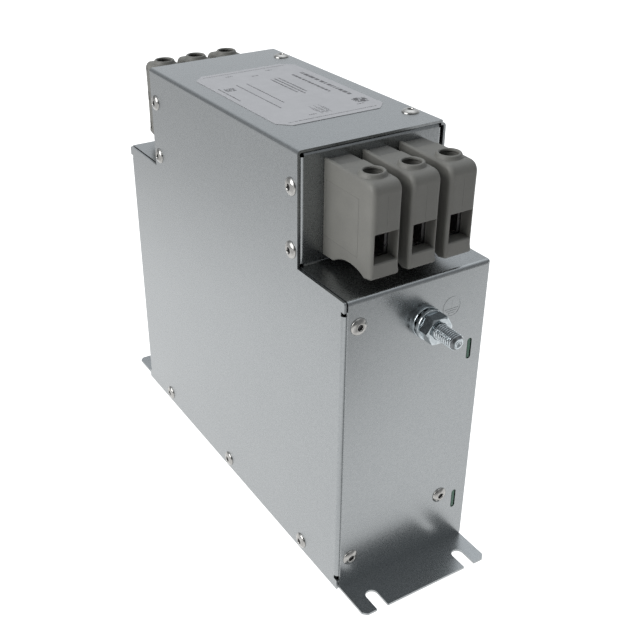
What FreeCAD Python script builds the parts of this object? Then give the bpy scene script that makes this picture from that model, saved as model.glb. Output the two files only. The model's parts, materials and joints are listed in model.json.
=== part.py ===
import FreeCAD, Part
import math
import os
from types import SimpleNamespace

import Sketcher
from FreeCAD import Placement, Rotation, Vector

# Book-style three-phase line filter in a folded sheet steel case.
# Frame: X to the right along the front wall, Y to the rear, Z up. Lengths are in
# millimetres and slopes in degrees.
# The origin is the centre of the mounting face under the base plate.

SIZES = {
    # case
    "body_width": 80.0,
    "body_length": 230.0,
    "body_height": 220.0,
    "shelf_drop": 55.0,
    "terminal_setback": 38.5,
    "sheet": 1.2,
    "bend_radius": 0.8,
    "side_gap": 0.35,
    "panel_edge": 0.8,
    "cover_lip": 2.0,
    "shelf_reveal": 0.5,
    "return_width": 15.0,
    "relief_height": 2.1,
    "low_relief": 6.7,
    "high_relief": 6.6,
    "corner_relief": 0.3,
    "top_flange_width": 15.0,
    "wall_flange": 13.0,
    "wall_recess": 0.4,
    "flange_gap": 0.35,
    "stack_gap": 0.05,
    # mounting flanges
    "flange_reach": 21.5,
    "flange_corner": 2.2,
    "fixing_pitch": 255.0,
    "slot_spacing": 55.0,
    "slot_width": 6.5,
    "base_upstand": 13.0,
    # blind rivets
    "rivet_head": 8.5,
    "rivet_dome": 1.5,
    "rivet_bevel": 1.2,
    "wall_rivet_inset": 7.3,
    "wall_rivet_drop": 13.4,
    "wall_rivet_low": 18.8,
    "bracket_rivet_inset": 18.0,
    "bracket_rivet_height": 34.5,
    "step_rivet_inset": 5.6,
    "step_rivet_top": 17.8,
    "step_rivet_low": 6.8,
    "base_rivet_height": 5.8,
    "base_rivet_pitch": 80.5,
    "top_rivet_inset": 7.2,
    "top_rivet_pitch": 118.0,
    # label
    "label_width": 60.0,
    "label_length": 92.6,
    "label_corner": 6.0,
    "label_shift": 1.0,
    "label_sheet": 0.2,
    # terminals
    "terminal_pitch": 20.0,
    "terminal_shift": 0.6,
    "terminal_width": 15.2,
    "terminal_root_width": 13.8,
    "terminal_reach": 37.9,
    "terminal_drop": 5.8,
    "terminal_lift": 3.5,
    "terminal_lip": 2.6,
    "terminal_foot": 8.6,
    "terminal_crown": 5.0,
    "terminal_edge": 1.8,
    "arch_radius": 23.6,
    "arch_run": 13.9,
    "arch_drop": 19.1,
    "boss_diameter": 12.0,
    "boss_height": 1.9,
    "boss_slope": 14.0,
    "screw_bore": 7.0,
    "screw_place": 26.3,
    "entry_width": 11.8,
    "entry_height": 13.4,
    "entry_centre": 20.3,
    "entry_depth": 7.0,
    "marker_length": 8.6,
    "marker_inset": 2.2,
    "marker_depth": 0.6,
    "latch_width": 2.4,
    "latch_height": 5.0,
    "latch_depth": 0.5,
    "latch_rise": 6.1,
    "latch_pitch": 17.6,
    "chamber_width": 11.4,
    "chamber_height": 27.0,
    "chamber_depth": 13.0,
    "spigot_width": 10.6,
    "spigot_height": 30.0,
    "spigot_length": 8.0,
    "spigot_barb": 1.0,
    "spigot_fit": 0.2,
    "cage_wall": 1.3,
    "cage_fit": 0.2,
    "cage_length": 11.0,
    "cage_mouth": 12.6,
    "bar_width": 8.0,
    "bar_thickness": 3.0,
    "bar_fit": 0.15,
    "bar_tail": 16.0,
    "screw_thread": 6.0,
    "screw_socket": 4.0,
    "socket_depth": 4.0,
    "screw_length": 11.0,
    # earth studs
    "stud_offset": 3.5,
    "stud_drop": 21.0,
    "stud_thread": 6.0,
    "stud_pitch_diameter": 5.35,
    "stud_runout": 0.3,
    "stud_reach": 24.0,
    "stud_head": 12.0,
    "stud_head_thickness": 3.0,
    "stud_fit": 0.1,
    "nut_flats": 10.0,
    "nut_height": 5.2,
    "washer_diameter": 14.0,
    "washer_thickness": 1.6,
    "lock_diameter": 12.6,
    "lock_thickness": 1.5,
    "lock_tooth": 1.3,
    # circuit board and what it carries
    "board_inset": 8.1,
    "board_thickness": 1.6,
    "board_bottom": 14.0,
    "board_drop": 13.0,
    "board_gap": 1.0,
    "tab_low": 27.8,
    "tab_high": 119.9,
    "tab_length": 11.4,
    "tab_slot_width": 2.7,
    "tab_fit": 0.4,
    "tab_depth": 0.3,
    "filter_cap_length": 41.5,
    "filter_cap_depth": 20.0,
    "filter_cap_low": 22.0,
    "filter_cap_gap": 5.0,
    "filter_cap_end": 33.0,
    "earth_cap_length": 18.0,
    "earth_cap_height": 12.0,
    "earth_cap_depth": 9.0,
    "part_row_drop": 12.0,
    "part_row_room": 13.0,
    "resistor_length": 9.0,
    "resistor_diameter": 3.6,
    "resistor_pitch": 20.0,
    "lead_diameter": 0.8,
    "lead_standoff": 1.5,
    # choke
    "choke_gap": 3.6,
    "choke_height": 78.0,
    "core_inside": 32.0,
    "core_length": 50.0,
    "core_fit": 0.3,
    "winding_depth": 4.0,
    "strip": 3.0,
    "strip_width": 6.0,
    "cradle_web": 6.0,
    "cradle_foot": 40.0,
    "cradle_sheet": 3.0,
    "bracket_width": 14.0,
    "bracket_height": 42.0,
    "bracket_foot": 16.0,
    "insulation": 0.5,
    "insulation_margin": 12.0,
}

LOCK_TEETH = 12
RIVET_SIDES = 10
NUT_TURN_DEG = 15.0
WINDING_SECTOR_DEG = 96.0
WINDING_PLACES_DEG = (210.0, 90.0, 330.0)

doc = FreeCAD.newDocument("line_filter")


class Size:
    """A length known both as a number and as an expression on the size sheet."""

    def __init__(self, value, text):
        self.value = float(value)
        self.text = text

    def __add__(self, other):
        other = size_of(other)
        return Size(self.value + other.value, f"({self.text} + {other.text})")

    def __radd__(self, other):
        return size_of(other) + self

    def __sub__(self, other):
        other = size_of(other)
        return Size(self.value - other.value, f"({self.text} - {other.text})")

    def __rsub__(self, other):
        return size_of(other) - self

    def __mul__(self, other):
        other = size_of(other)
        return Size(self.value * other.value, f"({self.text} * {other.text})")

    def __rmul__(self, other):
        return size_of(other) * self

    def __truediv__(self, other):
        other = size_of(other)
        return Size(self.value / other.value, f"({self.text} / {other.text})")

    def __neg__(self):
        return Size(-self.value, f"(-1 * {self.text})")


def size_of(number):
    """The number itself if it is a Size, else a plain constant."""
    if isinstance(number, Size):
        return number
    return Size(number, f"({number:.9g})")


def make_size_sheet():
    """The spreadsheet of driving dimensions, and a Size for each of its cells."""
    sheet = doc.addObject("Spreadsheet::Sheet", "Sizes")
    for row, (alias, value) in enumerate(SIZES.items(), start=1):
        sheet.set(f"A{row}", alias)
        sheet.set(f"B{row}", f"{value:g}")
        sheet.setAlias(f"B{row}", alias)
    doc.recompute()
    cells = {alias: Size(getattr(sheet, alias), f"Sizes.{alias}") for alias in SIZES}
    return SimpleNamespace(**cells)


S = make_size_sheet()

# Places that several pieces share.
HALF_WIDTH = S.body_width / 2
HALF_LENGTH = S.body_length / 2
BEND_OUTSIDE = S.bend_radius + S.sheet
STEP = HALF_LENGTH - S.terminal_setback
SHELF = S.body_height - S.shelf_drop
INNER_WIDTH = HALF_WIDTH - S.sheet - S.side_gap
WALL_TOP = S.body_height - S.sheet - S.stack_gap
SHELF_EDGE = SHELF - S.shelf_reveal
HIGH_RELIEF = SHELF - S.high_relief
RETURN_FACE = HALF_LENGTH - S.sheet - S.stack_gap
TERMINAL_WALL = S.terminal_setback + S.wall_recess
STUD_HEIGHT = SHELF - S.stud_drop
ENTRY_HEIGHT = SHELF + S.entry_centre
TERMINAL_TOP = S.body_height - S.terminal_drop
BRACKET_SIDE = HALF_WIDTH - S.bracket_rivet_inset
BOARD_MIDDLE = HALF_WIDTH - S.board_inset
BOARD_FACE = BOARD_MIDDLE - S.board_thickness / 2
BOARD_TOP = SHELF - S.board_drop
PART_ROW = BOARD_TOP - S.part_row_drop
CHOKE_SIDE = (BOARD_FACE - INNER_WIDTH) / 2
CHOKE_OUTSIDE = BOARD_FACE + INNER_WIDTH - 2 * S.choke_gap
CORE_OUTSIDE = CHOKE_OUTSIDE - 2 * (S.winding_depth + S.core_fit)


class Piece:
    """One sub-part: a body with short calls for its sketches and features."""

    def __init__(self, label):
        self.body = doc.addObject("PartDesign::Body", label)
        self.body.Label = label
        self.body.AllowCompound = True
        self.made = 0

    def name(self, kind):
        self.made += 1
        return f"{self.body.Label}_{kind}_{self.made}"

    def sketch(self, role, offset=0):
        """A sketch on an origin plane of the body, moved along that plane's normal."""
        sketch = self.body.newObject("Sketcher::SketchObject", self.name("sketch"))
        plane = next(f for f in self.body.Origin.OriginFeatures if f.Role == role)
        sketch.AttachmentSupport = (plane, [""])
        sketch.MapMode = "FlatFace"
        sketch.setExpression("AttachmentOffset.Base.z", size_of(offset).text)
        return sketch

    def pad(self, sketch, length, backward=False, taper=None):
        """Material along the sketch's normal, or against it."""
        pad = self.body.newObject("PartDesign::Pad", self.name("pad"))
        pad.Profile = sketch
        pad.setExpression("Length", size_of(length).text)
        pad.Reversed = backward
        if taper is not None:
            pad.setExpression("TaperAngle", (-taper).text)
        return pad

    def cut(self, sketch, depth, forward=False):
        """A pocket against the sketch's normal, or along it, which must remove material."""
        doc.recompute()
        before = self.body.Tip.Shape.Volume
        pocket = self.body.newObject("PartDesign::Pocket", self.name("pocket"))
        pocket.Profile = sketch
        pocket.setExpression("Length", size_of(depth).text)
        pocket.Reversed = forward
        doc.recompute()
        if not self.body.Tip.Shape.Volume < before:
            raise RuntimeError(f"{pocket.Name} removes nothing")
        return pocket

    def turn(self, sketch, axis, groove=False, angle=360.0):
        """A revolution of the sketch about its own horizontal or vertical axis."""
        kind = "PartDesign::Groove" if groove else "PartDesign::Revolution"
        feature = self.body.newObject(kind, self.name("turn"))
        feature.Profile = sketch
        feature.ReferenceAxis = (sketch, [axis])
        feature.Angle = angle
        return feature

    def round_edges(self, radius, edges):
        """Fillets the edges of the present solid that lie on the given lines."""
        doc.recompute()
        names = []
        for line in edges:
            names += edges_on(self.body.Tip.Shape, **line)
        self.fillet(radius, names)

    def fillet(self, radius, names):
        """Fillets the named edges of the present solid."""
        if not names:
            raise RuntimeError(f"{self.body.Label} has no edge to round")
        base = self.body.Tip
        fillet = self.body.newObject("PartDesign::Fillet", self.name("fillet"))
        fillet.Base = (base, names)
        fillet.setExpression("Radius", size_of(radius).text)
        doc.recompute()
        if "Invalid" in fillet.State:
            raise RuntimeError(f"{fillet.Name} can't be made")

    def bevel_edges(self, size, edges):
        """Chamfers the edges of the present solid that lie on the given lines or planes."""
        doc.recompute()
        names = []
        for line in edges:
            names += edges_on(self.body.Tip.Shape, **line)
        if not names:
            raise RuntimeError(f"{self.body.Label} has no edge to bevel")
        base = self.body.Tip
        chamfer = self.body.newObject("PartDesign::Chamfer", self.name("chamfer"))
        chamfer.Base = (base, names)
        chamfer.setExpression("Size", size_of(size).text)
        doc.recompute()
        if "Invalid" in chamfer.State:
            raise RuntimeError(f"{chamfer.Name} can't be made")


def edges_on(shape, **fixed):
    """Names of the edges whose every point keeps the fixed coordinates."""
    found = []
    for number, edge in enumerate(shape.Edges, start=1):
        if edge.Degenerated:
            continue
        points = edge.discretize(3)
        if all(
            abs(getattr(point, axis) - size_of(value).value) < 1e-4
            for point in points
            for axis, value in fixed.items()
        ):
            found.append(f"Edge{number}")
    return found


def tie(sketch, kind, geometry, point, value):
    """Sets a sketch point's distance from the sketch origin and binds it to the sheet."""
    value = size_of(value)
    index = sketch.addConstraint(Sketcher.Constraint(kind, -1, 1, geometry, point, value.value))
    sketch.setExpression(f"Constraints[{index}]", value.text)


def polygon(sketch, corners):
    """A closed outline with straight sides through the corners."""
    first = sketch.GeometryCount
    count = len(corners)
    flat = [Vector(size_of(u).value, size_of(v).value, 0) for u, v in corners]
    for i in range(count):
        sketch.addGeometry(Part.LineSegment(flat[i], flat[(i + 1) % count]), False)
    for i in range(count):
        following = first + (i + 1) % count
        sketch.addConstraint(Sketcher.Constraint("Coincident", first + i, 2, following, 1))
    for i, (u, v) in enumerate(corners):
        tie(sketch, "DistanceX", first + i, 1, u)
        tie(sketch, "DistanceY", first + i, 1, v)
    return sketch


def rectangle(sketch, left, bottom, right, top):
    """A closed rectangle."""
    return polygon(sketch, [(left, bottom), (right, bottom), (right, top), (left, top)])


def rounding(sketch, u, v, radius):
    """What a block loses when its left upper corner at (u, v) is rounded."""
    u, v, radius = size_of(u), size_of(v), size_of(radius)
    beyond = radius / 4
    corners = [
        (u + radius, v),
        (u + radius, v + beyond),
        (u - beyond, v + beyond),
        (u - beyond, v - radius),
        (u, v - radius),
    ]
    flat = [Vector(a.value, b.value, 0) for a, b in corners]
    for i in range(4):
        sketch.addGeometry(Part.LineSegment(flat[i], flat[i + 1]), False)
    centre = Vector(u.value + radius.value, v.value - radius.value, 0)
    whole = Part.Circle(centre, Vector(0, 0, 1), radius.value)
    sketch.addGeometry(Part.ArcOfCircle(whole, math.pi / 2, math.pi), False)
    joined = ((0, 2, 1, 1), (1, 2, 2, 1), (2, 2, 3, 1), (3, 2, 4, 2), (4, 1, 0, 1))
    for first, end, second, start in joined:
        sketch.addConstraint(Sketcher.Constraint("Coincident", first, end, second, start))
    for line, point, (a, b) in zip((0, 1, 2, 3, 3), (1, 1, 1, 1, 2), corners):
        tie(sketch, "DistanceX", line, point, a)
        tie(sketch, "DistanceY", line, point, b)
    index = sketch.addConstraint(Sketcher.Constraint("Radius", 4, radius.value))
    sketch.setExpression(f"Constraints[{index}]", radius.text)
    return sketch


def circle(sketch, u, v, diameter):
    """A full circle with its centre and diameter bound to the sheet."""
    u, v, diameter = size_of(u), size_of(v), size_of(diameter)
    centre = Vector(u.value, v.value, 0)
    index = sketch.addGeometry(Part.Circle(centre, Vector(0, 0, 1), diameter.value / 2), False)
    tie(sketch, "DistanceX", index, 3, u)
    tie(sketch, "DistanceY", index, 3, v)
    size = sketch.addConstraint(Sketcher.Constraint("Diameter", index, diameter.value))
    sketch.setExpression(f"Constraints[{size}]", diameter.text)
    return sketch


def regular(sketch, u, v, reach, sides, turn=0.0):
    """A regular outline by the reach of its corners, turned by an angle in degrees."""
    corners = []
    for k in range(sides):
        angle = 2 * math.pi * k / sides + math.radians(turn)
        corners.append((u + reach * math.cos(angle), v + reach * math.sin(angle)))
    return polygon(sketch, corners)


def hexagon(sketch, u, v, flats, turn):
    """A regular hexagon by its width across flats, turned by an angle in degrees."""
    return regular(sketch, u, v, flats / math.sqrt(3), 6, turn)


def both_ends(corners):
    """The corners, then their mirror images in reverse order, about the vertical axis."""
    return corners + [(-u, v) for u, v in reversed(corners)]


def move(body, x=0, y=0, z=0, turned=False):
    """Places a body, turned half round the vertical axis where the rear end has it."""
    if turned:
        body.Placement = Placement(Vector(0, 0, 0), Rotation(Vector(0, 0, 1), 180))
    for axis, value in (("x", x), ("y", y), ("z", z)):
        body.setExpression(f"Placement.Base.{axis}", size_of(value).text)


# The two ends of the filter: the rear end is the front end turned half round,
# with the features that belong to one side of the case kept on that side.
FRONT = SimpleNamespace(label="front", hand=1, turned=False, y=-HALF_LENGTH)
REAR = SimpleNamespace(label="rear", hand=-1, turned=True, y=HALF_LENGTH)
ENDS = (FRONT, REAR)
ROWS = (("left", -1), ("middle", 0), ("right", 1))


def terminal_x(row):
    """Distance of a terminal's middle plane from the middle of the case."""
    return S.terminal_shift + S.terminal_pitch * row


def step_rivets():
    """Y and Z of the four rivets that hold a side panel to the terminal walls."""
    heights = (S.body_height - S.step_rivet_top, SHELF + S.step_rivet_low)
    across = STEP - S.step_rivet_inset
    return [(y, z) for y in (-across, across) for z in heights]


def base_rivets():
    """Y and Z of the three rivets that hold a side panel to the base plate."""
    return [(S.base_rivet_pitch * k, S.base_rivet_height) for k in (-1, 0, 1)]


def wall_rivets():
    """X and Z of the rivets in an end wall, seen in the frame of the whole case."""
    side = S.wall_rivet_inset - HALF_WIDTH
    return [
        (side, SHELF - S.wall_rivet_drop),
        (side, S.wall_rivet_low),
        (BRACKET_SIDE, S.bracket_rivet_height),
    ]


def top_rivets():
    """X and Y of the two rivets that hold the cover to the right side panel."""
    side = HALF_WIDTH - S.top_rivet_inset
    return [(side, S.top_rivet_pitch * k / 2) for k in (-1, 1)]


def make_cover():
    """Left side and top in one sheet, with a return flange behind each end wall."""
    cover = Piece("cover")
    edge = HALF_LENGTH - S.panel_edge
    relief_end = RETURN_FACE - BEND_OUTSIDE - S.stack_gap
    half = S.relief_height / 2
    outline = both_ends(
        [
            (-edge, 0),
            (-edge, S.low_relief - half),
            (-relief_end, S.low_relief - half),
            (-relief_end, S.low_relief + half),
            (-RETURN_FACE, S.low_relief + half),
            (-RETURN_FACE, HIGH_RELIEF - half),
            (-relief_end, HIGH_RELIEF - half),
            (-relief_end, HIGH_RELIEF + half),
            (-edge, HIGH_RELIEF + half),
            (-edge, SHELF_EDGE),
            (-STEP, SHELF_EDGE),
            (-STEP, S.body_height),
        ]
    )
    cover.pad(polygon(cover.sketch("YZ_Plane", -HALF_WIDTH), outline), S.sheet)
    top = cover.sketch("XY_Plane", S.body_height - S.sheet)
    cover.pad(rectangle(top, -HALF_WIDTH, -STEP, HALF_WIDTH - S.cover_lip, STEP), S.sheet)
    for sign in (-1, 1):
        flange = cover.sketch("XZ_Plane", -sign * RETURN_FACE)
        right = S.return_width - HALF_WIDTH
        low, high = S.low_relief + half, HIGH_RELIEF - half
        rectangle(flange, -HALF_WIDTH, low, right, high)
        cover.pad(flange, S.sheet, backward=sign < 0)
    inner_side = S.sheet - HALF_WIDTH
    inner_top = S.body_height - S.sheet
    inner_return = RETURN_FACE - S.sheet
    outside = [{"x": -HALF_WIDTH, "z": S.body_height}]
    outside += [{"x": -HALF_WIDTH, "y": sign * RETURN_FACE} for sign in (-1, 1)]
    inside = [{"x": inner_side, "z": inner_top}]
    inside += [{"x": inner_side, "y": sign * inner_return} for sign in (-1, 1)]
    cover.round_edges(BEND_OUTSIDE, outside)
    cover.round_edges(S.bend_radius, inside)
    shoulder = [{"y": sign * edge, "z": SHELF_EDGE} for sign in (-1, 1)]
    cover.round_edges(BEND_OUTSIDE - S.panel_edge, shoulder)
    return cover


def make_right_panel():
    """Right side sheet with a flange that lies under the top of the cover, between the
    two terminal walls."""
    panel = Piece("right_side_panel")
    edge = HALF_LENGTH - S.panel_edge
    top = S.body_height - S.sheet
    outline = both_ends([(-edge, 0), (-edge, SHELF_EDGE), (-STEP, SHELF_EDGE), (-STEP, top)])
    panel.pad(polygon(panel.sketch("YZ_Plane", HALF_WIDTH - S.sheet), outline), S.sheet)
    # The flange fills the room between the top flanges of the two terminal walls.
    bend = HALF_WIDTH - BEND_OUTSIDE - S.panel_edge
    near = HALF_WIDTH - S.top_flange_width
    half = HALF_LENGTH - TERMINAL_WALL - S.wall_flange - S.stack_gap
    corners = [(HALF_WIDTH, -STEP), (HALF_WIDTH, STEP), (bend, STEP), (bend, half)]
    corners += [(near, half), (near, -half), (bend, -half), (bend, -STEP)]
    flange = polygon(panel.sketch("XY_Plane", top - S.sheet), corners)
    panel.pad(flange, S.sheet)
    panel.round_edges(BEND_OUTSIDE, [{"x": HALF_WIDTH, "z": top}])
    panel.round_edges(S.bend_radius, [{"x": HALF_WIDTH - S.sheet, "z": top - S.sheet}])
    shoulder = [{"y": sign * edge, "z": SHELF_EDGE} for sign in (-1, 1)]
    panel.round_edges(BEND_OUTSIDE - S.panel_edge, shoulder)
    return panel


def make_end_wall(end):
    """Lower wall, shelf and terminal wall of one end, folded from one sheet."""
    wall = Piece(f"{end.label}_end_wall")
    sheet = S.sheet
    back = TERMINAL_WALL + S.wall_flange
    profile = [
        (0, sheet),
        (0, SHELF),
        (TERMINAL_WALL, SHELF),
        (TERMINAL_WALL, WALL_TOP),
        (back, WALL_TOP),
        (back, WALL_TOP - sheet),
        (TERMINAL_WALL + sheet, WALL_TOP - sheet),
        (TERMINAL_WALL + sheet, SHELF - sheet),
        (sheet, SHELF - sheet),
        (sheet, sheet),
    ]
    wall.pad(polygon(wall.sketch("YZ_Plane", -INNER_WIDTH), profile), 2 * INNER_WIDTH)
    wall.round_edges(
        BEND_OUTSIDE,
        [
            {"y": 0, "z": SHELF},
            {"y": TERMINAL_WALL + sheet, "z": SHELF - sheet},
            {"y": TERMINAL_WALL, "z": WALL_TOP},
        ],
    )
    wall.round_edges(
        S.bend_radius,
        [
            {"y": sheet, "z": SHELF - sheet},
            {"y": TERMINAL_WALL, "z": SHELF},
            {"y": TERMINAL_WALL + sheet, "z": WALL_TOP - sheet},
        ],
    )
    # The terminal wall is narrower than the lower wall, with corner reliefs at its bends.
    flange_face = HALF_WIDTH - sheet - S.flange_gap
    relief_side = flange_face - BEND_OUTSIDE - S.stack_gap
    low = SHELF + S.bend_radius + S.corner_relief
    high = WALL_TOP - BEND_OUTSIDE - S.corner_relief
    trims = wall.sketch("XZ_Plane", -back)
    outer = HALF_WIDTH
    for sign in (-1, 1):
        corners = [
            (sign * relief_side, SHELF),
            (sign * outer, SHELF),
            (sign * outer, S.body_height),
            (sign * relief_side, S.body_height),
            (sign * relief_side, high),
            (sign * flange_face, high),
            (sign * flange_face, low),
            (sign * relief_side, low),
        ]
        polygon(trims, corners)
    wall.cut(trims, back - TERMINAL_WALL + BEND_OUTSIDE, forward=True)
    for sign in (-1, 1):
        side = wall.sketch("YZ_Plane", sign * flange_face)
        rectangle(side, TERMINAL_WALL, low, TERMINAL_WALL + S.wall_flange, high)
        wall.pad(side, sheet, backward=sign > 0)
    faces = [{"x": sign * flange_face, "y": TERMINAL_WALL} for sign in (-1, 1)]
    wall.round_edges(BEND_OUTSIDE, faces)
    inner = flange_face - sheet
    insides = [{"x": sign * inner, "y": TERMINAL_WALL + sheet} for sign in (-1, 1)]
    wall.round_edges(S.bend_radius, insides)
    stud_hole = wall.sketch("XZ_Plane")
    circle(stud_hole, end.hand * S.stud_offset, STUD_HEIGHT, S.stud_thread + S.stud_fit)
    wall.cut(stud_hole, sheet)
    slot_x = end.hand * BOARD_MIDDLE
    straight = (S.tab_length - S.tab_slot_width) / 2
    half_slot = S.tab_slot_width / 2
    slots = wall.sketch("XZ_Plane", 0)
    for height in (S.tab_low, S.tab_high):
        left, right = slot_x - half_slot, slot_x + half_slot
        rectangle(slots, left, height - straight, right, height + straight)
    wall.cut(slots, sheet)
    rounds = wall.sketch("XZ_Plane", 0)
    for height in (S.tab_low, S.tab_high):
        circle(rounds, slot_x, height + straight, S.tab_slot_width)
        circle(rounds, slot_x, height - straight, S.tab_slot_width)
    wall.cut(rounds, sheet)
    windows = wall.sketch("XZ_Plane", -TERMINAL_WALL)
    half_height = S.spigot_height / 2 + S.spigot_fit
    half_width = S.spigot_width / 2 + S.spigot_fit
    for _, row in ROWS:
        middle = end.hand * terminal_x(row)
        left, right = middle - half_width, middle + half_width
        rectangle(windows, left, ENTRY_HEIGHT - half_height, right, ENTRY_HEIGHT + half_height)
    wall.cut(windows, sheet)
    move(wall.body, y=end.y, turned=end.turned)
    return wall


def make_base_plate():
    """Base sheet with a mounting flange past each end wall and upturned sides."""
    base = Piece("base_plate")
    reach = HALF_LENGTH + S.flange_reach
    corner = S.flange_corner
    outline = both_ends(
        [
            (-INNER_WIDTH + corner, -reach),
            (-INNER_WIDTH, -reach + corner),
            (-INNER_WIDTH, reach - corner),
            (-INNER_WIDTH + corner, reach),
        ]
    )
    base.pad(polygon(base.sketch("XY_Plane"), outline), S.sheet)
    upstand_half = RETURN_FACE - S.sheet - BEND_OUTSIDE
    for sign in (-1, 1):
        side = base.sketch("YZ_Plane", sign * INNER_WIDTH)
        rectangle(side, -upstand_half, 0, upstand_half, S.base_upstand)
        base.pad(side, S.sheet, backward=sign > 0)
    # Bend reliefs at both ends of each upturned side.
    reliefs = base.sketch("XY_Plane", S.sheet)
    relief_width = BEND_OUTSIDE + S.stack_gap
    for end_sign in (-1, 1):
        for side_sign in (-1, 1):
            inner = side_sign * (INNER_WIDTH - relief_width)
            near = end_sign * upstand_half
            far = end_sign * (upstand_half + S.sheet)
            outer = side_sign * HALF_WIDTH
            rectangle(reliefs, inner, near, outer, far)
    base.cut(reliefs, S.sheet)
    round_upstand(base, upstand_half)
    inner = INNER_WIDTH - S.sheet
    insides = [{"x": sign * inner, "z": S.sheet} for sign in (-1, 1)]
    base.round_edges(S.bend_radius, insides)
    mouths = base.sketch("XY_Plane", S.sheet)
    ends = base.sketch("XY_Plane", S.sheet)
    for end_sign in (-1, 1):
        for side_sign in (-1, 1):
            x = side_sign * S.slot_spacing / 2
            y = end_sign * S.fixing_pitch / 2
            rectangle(mouths, x - S.slot_width / 2, y, x + S.slot_width / 2, end_sign * reach)
            circle(ends, x, y, S.slot_width)
    base.cut(mouths, S.sheet)
    base.cut(ends, S.sheet)
    return base


def round_upstand(base, half):
    """Rounds only the stretch of each long bottom edge that carries the upturned side."""
    doc.recompute()
    shape = base.body.Tip.Shape
    names = []
    for sign in (-1, 1):
        for name in edges_on(shape, x=sign * INNER_WIDTH, z=0):
            if abs(shape.getElement(name).CenterOfMass.y) < half.value:
                names.append(name)
    base.fillet(BEND_OUTSIDE, names)


def make_rivets(label, role, face, seats, backward=False):
    """A group of like rivet heads on one plane: low bevelled heads, one for each seat."""
    rivets = Piece(label)
    for u, v in seats:
        foot = regular(rivets.sketch(role, face), u, v, S.rivet_head / 2, RIVET_SIDES)
        rivets.pad(foot, S.rivet_dome, backward=backward)
    axis = {"YZ_Plane": "x", "XZ_Plane": "y", "XY_Plane": "z"}[role]
    crown = size_of(face) + (-S.rivet_dome if backward else S.rivet_dome)
    rivets.bevel_edges(S.rivet_bevel, [{axis: -crown if axis == "y" else crown}])
    return rivets


def make_all_rivets():
    """The rivet groups of the two sides, the top and the two end walls."""
    sides = step_rivets() + base_rivets()
    pieces = [
        make_rivets("left_side_rivets", "YZ_Plane", -HALF_WIDTH, sides, backward=True),
        make_rivets("right_side_rivets", "YZ_Plane", HALF_WIDTH, sides),
        make_rivets("top_rivets", "XY_Plane", S.body_height, top_rivets()),
    ]
    for end in ENDS:
        label = f"{end.label}_wall_rivets"
        rear = end is REAR
        pieces.append(make_rivets(label, "XZ_Plane", -end.y, wall_rivets(), backward=rear))
    return pieces


def make_label():
    """Thin label with clipped corners on the top of the cover."""
    label = Piece("label")
    half_x, half_y, clip = S.label_width / 2, S.label_length / 2, S.label_corner
    corners = both_ends(
        [
            (-half_x + clip, -half_y),
            (-half_x, -half_y + clip),
            (-half_x, half_y - clip),
            (-half_x + clip, half_y),
        ]
    )
    label.pad(polygon(label.sketch("XY_Plane"), corners), S.label_sheet)
    move(label.body, y=-S.label_shift, z=S.body_height)
    return label


def make_terminal_block(end, side, row):
    """Moulded feed-through terminal: crowned front, arched underside, screw boss,
    wire entry, clamp chamber and the barbed spigot that snaps into the wall."""
    block = Piece(f"{end.label}_terminal_{side}")
    foot = SHELF + S.terminal_lift
    lip = foot + S.terminal_lip
    reach = S.terminal_reach
    half, root = S.terminal_width / 2, S.terminal_root_width / 2
    plan = block.sketch("XY_Plane", foot)
    polygon(plan, [(-half, -reach), (half, -reach), (root, 0), (-root, 0)])
    block.pad(plan, TERMINAL_TOP - foot)
    block.round_edges(S.terminal_edge, [{"x": sign * half, "y": -reach} for sign in (-1, 1)])
    crown = rounding(block.sketch("YZ_Plane", -half), -reach, TERMINAL_TOP, S.terminal_crown)
    block.cut(crown, S.terminal_width, forward=True)
    slope = block.sketch("YZ_Plane", -half)
    corners = [(-S.terminal_foot, foot), (-reach, lip), (-reach, foot)]
    block.cut(polygon(slope, corners), S.terminal_width, forward=True)
    arch = block.sketch("YZ_Plane", -half)
    circle(arch, -S.terminal_foot - S.arch_run, foot - S.arch_drop, 2 * S.arch_radius)
    block.cut(arch, S.terminal_width, forward=True)
    boss = block.sketch("XY_Plane", TERMINAL_TOP)
    circle(boss, 0, -S.screw_place, S.boss_diameter)
    block.pad(boss, S.boss_height, taper=S.boss_slope)
    marker = block.sketch("XY_Plane", TERMINAL_TOP)
    rectangle(marker, -half + S.marker_inset, -S.marker_length, half, 0)
    block.cut(marker, S.marker_depth)
    add_spigot(block)
    hollow_block(block)
    latches = block.sketch("YZ_Plane", half - S.latch_depth)
    near = -reach + S.terminal_edge
    for k in (-1, 0, 1):
        low = ENTRY_HEIGHT + S.latch_rise + S.latch_pitch * k
        rectangle(latches, near, low, near + S.latch_width, low + S.latch_height)
    block.cut(latches, S.latch_depth, forward=True)
    place_terminal(block.body, end, row)
    return block


def add_spigot(block):
    """The part of the moulding that passes through the wall, with a barb above and below."""
    half_height = S.spigot_height / 2
    low, high = ENTRY_HEIGHT - half_height, ENTRY_HEIGHT + half_height
    catch = S.sheet + S.spigot_fit
    end = S.spigot_length
    barb = S.spigot_barb
    corners = [
        (0, low),
        (catch, low),
        (catch, low - barb),
        (end, low + barb),
        (end, high - barb),
        (catch, high + barb),
        (catch, high),
        (0, high),
    ]
    sketch = polygon(block.sketch("YZ_Plane", -S.spigot_width / 2), corners)
    block.pad(sketch, S.spigot_width)


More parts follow.
